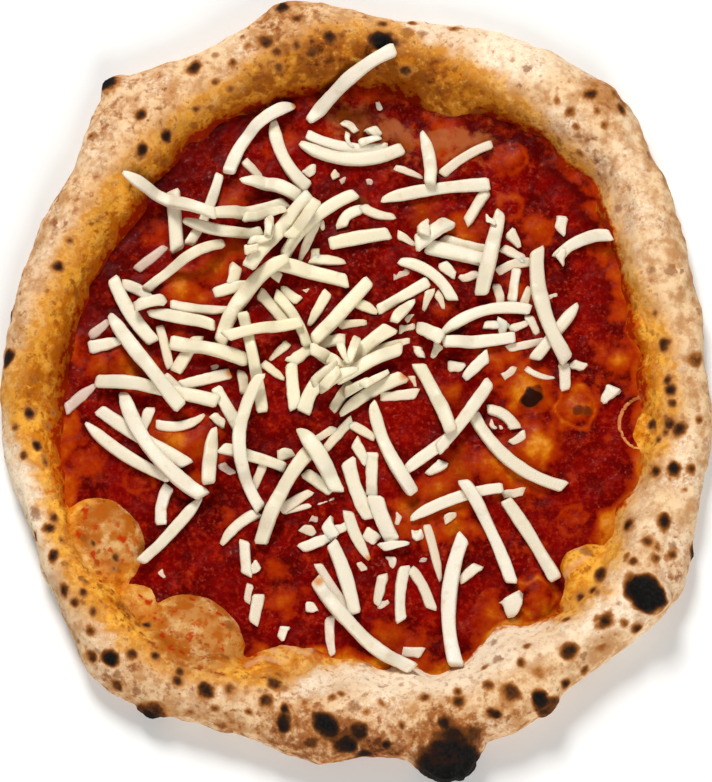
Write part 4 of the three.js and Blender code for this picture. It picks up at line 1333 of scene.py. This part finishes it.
# %% The golden band
# The gold's own tone, together with painted shade on the far wall and painted light on the near one.
gold_tone_and_light = dough.mark("gold_tone_and_painted_light")
golden = dough.wander(dough.mark("golden"), mottle, 18.0)
honey = dough.coats((198, 128, 42), ((226, 168, 88), blotch, 0.4, 0.6))
deep_gold = dough.coats(
    (136, 66, 4),
    ((192, 118, 30), mottle, 0.38, 0.62),
    ((120, 54, 6), blotch, 0.5, 0.66),
)
light_gold = dough.coats(
    (218, 124, 14),
    ((248, 180, 66), mottle, 0.42, 0.6),
    ((206, 112, 18), blotch, 0.58, 0.74),
)
gold = dough.coats(
    dough.mix(gold_tone_and_light, deep_gold, light_gold),
    ((242, 190, 100), blotch, 0.45, 0.32, 0.4),
    ((150, 72, 10), blotch, 0.54, 0.64, 0.6),
    ((140, 76, 16), freckle, 0.56, 0.66, 0.4),
)
fried = dough.plus(tanned, 0.3, blotch)
colour = dough.coats(
    colour,
    (honey, golden, -7.0, 1.0),
    (gold, golden, -1.0, 7.0),
    ((144, 76, 22), fried, 0.64, 0.84, 0.85),
    ((80, 36, 8), fried, 0.82, 1.0, 0.9),
)
print("nodes so far:", len(dough.nodes))

# %% [markdown]
# At the sauce the wall is stained amber, and red right at its foot. The stain ends where
# the mark "clean" is 1, and noise makes it lap up the wall unevenly.

# %% The tomato's stain on the wall
clean = dough.wander(dough.wander(dough.mark("clean"), blotch, 3.0), mottle, 1.4)
# The stain's colours follow the same mark, so they carry its painted shade and light too.
amber = dough.mix(gold_tone_and_light, (136, 62, 4), (200, 98, 12))
reddest = dough.mix(gold_tone_and_light, (108, 16, 0), (168, 42, 4))
colour = dough.coats(colour, (amber, clean, 1.2, 0.4), (reddest, clean, 0.5, 0.1))
print("nodes so far:", len(dough.nodes))

# %% [markdown]
# The thin skin of the bubbles is a duller tan than the golden wall, because no oil runs
# up it. Drops of tomato splash on it and dough threads cling to it. Painted shade darkens
# the crease along its foot, where the bubble meets the wall.

# %% The bubbles' skin
bubble = dough.mark("bubble")
flesh = dough.coats(
    (164, 82, 18),
    ((186, 126, 66), dough.noise(8, 2), 0.42, 0.6),
    ((180, 84, 14), blotch, 0.54, 0.68),
    ((206, 162, 110), mottle, 0.53, 0.66),
    ((156, 80, 22), freckle, 0.56, 0.66, 0.5),
)
drops = dough.times(dough.ramp(dough.noise(3.6, 2), 0.61, 0.7), bubble)
fleck = dough.ramp(dough.wander(dough.mark("stain"), blotch, 1.2), 0.2, 0.9)
fleck = dough.math("MAXIMUM", fleck, dough.times(drops, 0.85))
# Painted shade in the crease where a bubble meets the wall, broken up by noise.
crease_shade = dough.times(dough.mark("crease"), dough.ramp(blotch, 0.42, 0.64))
colour = dough.mix(dough.times(bubble, 0.9), colour, flesh)
colour = dough.mix(fleck, colour, (176, 48, 4))
colour = dough.mix(crease_shade, colour, (150, 70, 14))
colour = dough.mix(dough.times(dough.mark("strand"), 0.6), colour, (222, 166, 118))
print("nodes so far:", len(dough.nodes))

# %% [markdown]
# Between the listed spots lie hundreds of brown specks, round and of many sizes. Those
# can be left to chance: Voronoi cells give each speck a place and a size of its own, and
# a number says how many of the cells show theirs.

# %% Specks on the dough


def spots(finish, spacing, chance):
    """Round spots of many sizes, from 0 to 1: Voronoi cells `spacing` millimetres apart,
    of which the share `chance` holds a spot with a wavy edge."""

    def vector(operation, inputs):
        return finish.add("VectorMath", inputs, operation=operation).outputs[0]

    inputs = {"Vector": finish.place, "Scale": 1 / (spacing / 3 * MM)}
    bend = finish.add("TexNoise", inputs).outputs["Color"]
    bend = vector("SUBTRACT", {0: bend, 1: (0.5, 0.5, 0.5)})
    bend = vector("SCALE", {0: bend, 3: spacing * 0.5 * MM})
    inputs = {"Vector": vector("ADD", {0: finish.place, 1: bend}), "Scale": 1 / (spacing * MM)}
    cell = finish.add("TexVoronoi", inputs).outputs
    chances = finish.add("SeparateColor", {"Color": cell["Color"]}).outputs
    radius = finish.plus(finish.math("POWER", chances[0], 2.0), 0.34, 0.1)
    near = finish.math("SUBTRACT", 1.0, finish.math("DIVIDE", cell["Distance"], radius))
    shown = finish.math("LESS_THAN", chances[1], chance)
    return finish.times(finish.ramp(near, -0.25, 0.45), shown)


crowded = dough.mark("toast")
small = spots(dough, 2.8, dough.plus(crowded, 0.45, 0.28))
large = spots(dough, 6.5, dough.plus(crowded, 0.5, 0.12))
colour = dough.mix(dough.times(small, 0.5), colour, (160, 90, 34))
colour = dough.mix(dough.times(large, 0.7), colour, (134, 72, 24))
print("nodes so far:", len(dough.nodes))

# %% [markdown]
# A burn is tan round its border, brown further in and black in the middle, flecked with
# grey that is partly ash and partly a painted sheen, so four coats follow one number. Oil
# makes the golden band shine a little; flour and char are dull.

# %% Burns, and the dough's finish
charred = dough.times(dough.plus(mottle, 1.4, 0.3), dough.mark("burn"))
charred = dough.wander(charred, blotch, 0.55)
halo = dough.times(dough.ramp(charred, 0.05, 0.4), dough.ramp(tanned, 1.2, 0.4))
# Black char flecked with grey: partly ash, partly a painted sheen.
ash_and_painted_sheen = dough.coats((9, 8, 7), ((24, 22, 21), grain, 0.4, 0.7))
colour = dough.coats(
    dough.mix(halo, colour, (172, 108, 50)),
    ((104, 56, 18), charred, 0.28, 0.62),
    ((38, 19, 8), charred, 0.5, 0.9),
    (ash_and_painted_sheen, charred, 0.88, 1.2),
)
oily = dough.times(dough.ramp(golden, -4.0, 4.0), dough.ramp(charred, 0.5, 0.2))
dough.set(Base_Color=colour, Specular_IOR_Level=dough.plus(oily, -0.1, 0.12))
dough.set(Roughness=dough.plus(oily, -0.3, 0.85))
dough.bump(dough.math("ADD", mottle, dough.times(grain, 0.4)), 0.6, 0.6)
crust.data.materials.append(dough.material)
print("baked dough:", len(dough.nodes), "nodes")

# %% [markdown]
# ## Tomato
#
# Crushed tomato is deep red and wet, with paler threads and grains of pulp. Where the
# grains turn to the light they shine, and they also get a painted pinkish highlight.

# %% Pulp
tomato = Finish("crushed_tomato")
pool, threads = tomato.noise(14, 4), tomato.noise(4.5, 5, 0.65)
seeds, grains = tomato.noise(1.5, 2, 0.5), tomato.noise(1.7, 3, 0.6)
# Grains that shine: they raise the specular level, and their pinkish colour is a painted highlight.
pale = tomato.times(tomato.ramp(seeds, 0.57, 0.72), tomato.ramp(tomato.noise(10, 2), 0.45, 0.6))
colour = tomato.coats(
    (78, 0, 0),
    ((116, 2, 0), pool, 0.36, 0.62),
    ((146, 19, 2), threads, 0.48, 0.74),
    ((80, 0, 0), threads, 0.44, 0.26),
    ((164, 36, 10), grains, 0.5, 0.68, 0.42),
    ((84, 0, 0), grains, 0.48, 0.32, 0.5),
)
# Painted highlight: pinkish glints laid into the colour over the shiny grains.
colour = tomato.mix(tomato.times(pale, 0.35), colour, (176, 72, 50))
# Painted shadow: the sauce is darkened near the rim, where the wall shades it.
colour = tomato.mix(tomato.times(tomato.mark("painted_wall_shadow"), 0.9), colour, (70, 1, 0))
print("nodes so far:", len(tomato.nodes))

# %% [markdown]
# Where the sauce is thin, the golden dough shows through it as orange, and bare dough is
# the colour of bread. A see-through sauce over a second layer could do this, but coats
# of colour are simpler and stay in the exported model.

# %% Dough through the sauce, and the tomato's finish
through = tomato.wander(tomato.mark("showing"), threads, 1.3)
orange = tomato.coats((170, 66, 2), ((206, 120, 14), through, 0.75, 1.4))
dull = tomato.coats((146, 68, 14), ((160, 88, 46), pool, 0.42, 0.58))
stained = tomato.wander(tomato.mark("shelf"), threads, 2.4)
scorched = tomato.mark("burn")
colour = tomato.coats(
    colour,
    ((152, 36, 1), through, 0.12, 0.6),
    (orange, through, 0.45, 1.05),
    ((222, 156, 82), through, 1.1, 1.7),
    (dull, stained, 0.25, 1.0, 0.75),
    ((110, 40, 6), scorched, 0.1, 0.6),
    ((40, 14, 6), scorched, 0.6, 0.95),
)
tomato.set(Base_Color=colour, Roughness=0.36)
tomato.set(Specular_IOR_Level=tomato.plus(pale, 0.1, 0.028))
tomato.bump(tomato.math("ADD", threads, tomato.times(grains, 0.4)), 0.5, 0.5)
sauce.data.materials.append(tomato.material)
print("crushed tomato:", len(tomato.nodes), "nodes")

# %% [markdown]
# ## Mozzarella
#
# Fresh shreds are cream-white and let light a little way in, which softens their edges.
# The ones in the middle of the pile are more yellow, a few tips are toasted, and what
# has sunk into the sauce is stained. Where a shred lies low over the sauce, it gets a
# painted reddish shade, standing in for the sauce's red bounced light and the shade
# under the shred.

# %% Mozzarella
milk = Finish("mozzarella")
lumps = milk.noise(5)
tip = milk.wander(milk.mark("toasted"), lumps, 0.4)
colour = milk.mix(milk.mark("tone"), (232, 223, 205), (219, 207, 182))
colour = milk.mix(milk.times(milk.mark("butter"), 0.7), colour, (236, 225, 184))
colour = milk.coats(colour, ((216, 198, 164), lumps, 0.55, 0.8))
# Painted shade: the low parts of a shred are tinted reddish, for the sauce's bounced light.
colour = milk.mix(milk.times(milk.mark("low"), 0.5), colour, (204, 152, 118))
colour = milk.coats(colour, ((206, 132, 62), tip, 0.3, 0.9))
colour = milk.mix(milk.times(milk.mark("soaked"), 0.5), colour, (176, 138, 132))
milk.set(Base_Color=colour, Roughness=0.42, Specular_IOR_Level=0.4)
milk.set(Subsurface_Weight=0.4, Subsurface_Radius=(1.0, 0.55, 0.3), Subsurface_Scale=0.0025)
milk.bump(milk.noise(1.1, 4), 0.25, 0.6)
for piece in (cheese, bits):
    piece.data.materials.append(milk.material)
print("mozzarella:", len(milk.nodes), "nodes")

# %% [markdown]
# ## Floor and light
#
# A plain pale floor, much wider than the view, shows the pizza's shadow and hides
# nothing of it.

# %% Floor
scene = bpy.context.scene
scene.view_settings.view_transform = "Standard"

FLOOR_HALF = 6  # metres from its middle to each side
corners = FLOOR_HALF * np.array([(-1, -1, 0), (1, -1, 0), (1, 1, 0), (-1, 1, 0)])
floor_mesh = bpy.data.meshes.new("floor")
floor_mesh.from_pydata(corners.tolist(), [], [(0, 1, 2, 3)])
floor = bpy.data.objects.new("floor", floor_mesh)
scene.collection.objects.link(floor)
pale_floor = Finish("pale_floor")
pale_floor.set(Base_Color=paint(240, 240, 238), Roughness=0.9)
floor_mesh.materials.append(pale_floor.material)
print("floor:", 2 * FLOOR_HALF, "m wide")

# %% [markdown]
# A broad key light stands behind and above, a softer fill in front, and an even, dim
# studio is all round them. The key comes from the side that the camera leans away from,
# so the wet sauce shines only where its pulp turns towards it.

# %% Lamps and studio
LAMPS = [  # name, place and size in metres, power in watts
    ("key", (-0.35, 1.2, 1.42), 0.65, 32),
    ("fill", (0.5, -1.4, 1.2), 1.2, 24),
]
STUDIO_LIGHT = 0.2

for name, place, size, power in LAMPS:
    data = bpy.data.lights.new(name, "AREA")
    data.shape, data.size, data.energy = "DISK", size, power
    lamp = bpy.data.objects.new(name, data)
    scene.collection.objects.link(lamp)
    lamp.location = place
    lamp.rotation_euler = Vector(place).to_track_quat("Z", "Y").to_euler()
world = bpy.data.worlds.new("studio")
world.use_nodes = True
background = world.node_tree.nodes["Background"].inputs
background["Color"].default_value = (1, 1, 1, 1)
background["Strength"].default_value = STUDIO_LIGHT
scene.world = world
print("lamps:", [lamp[0] for lamp in LAMPS])
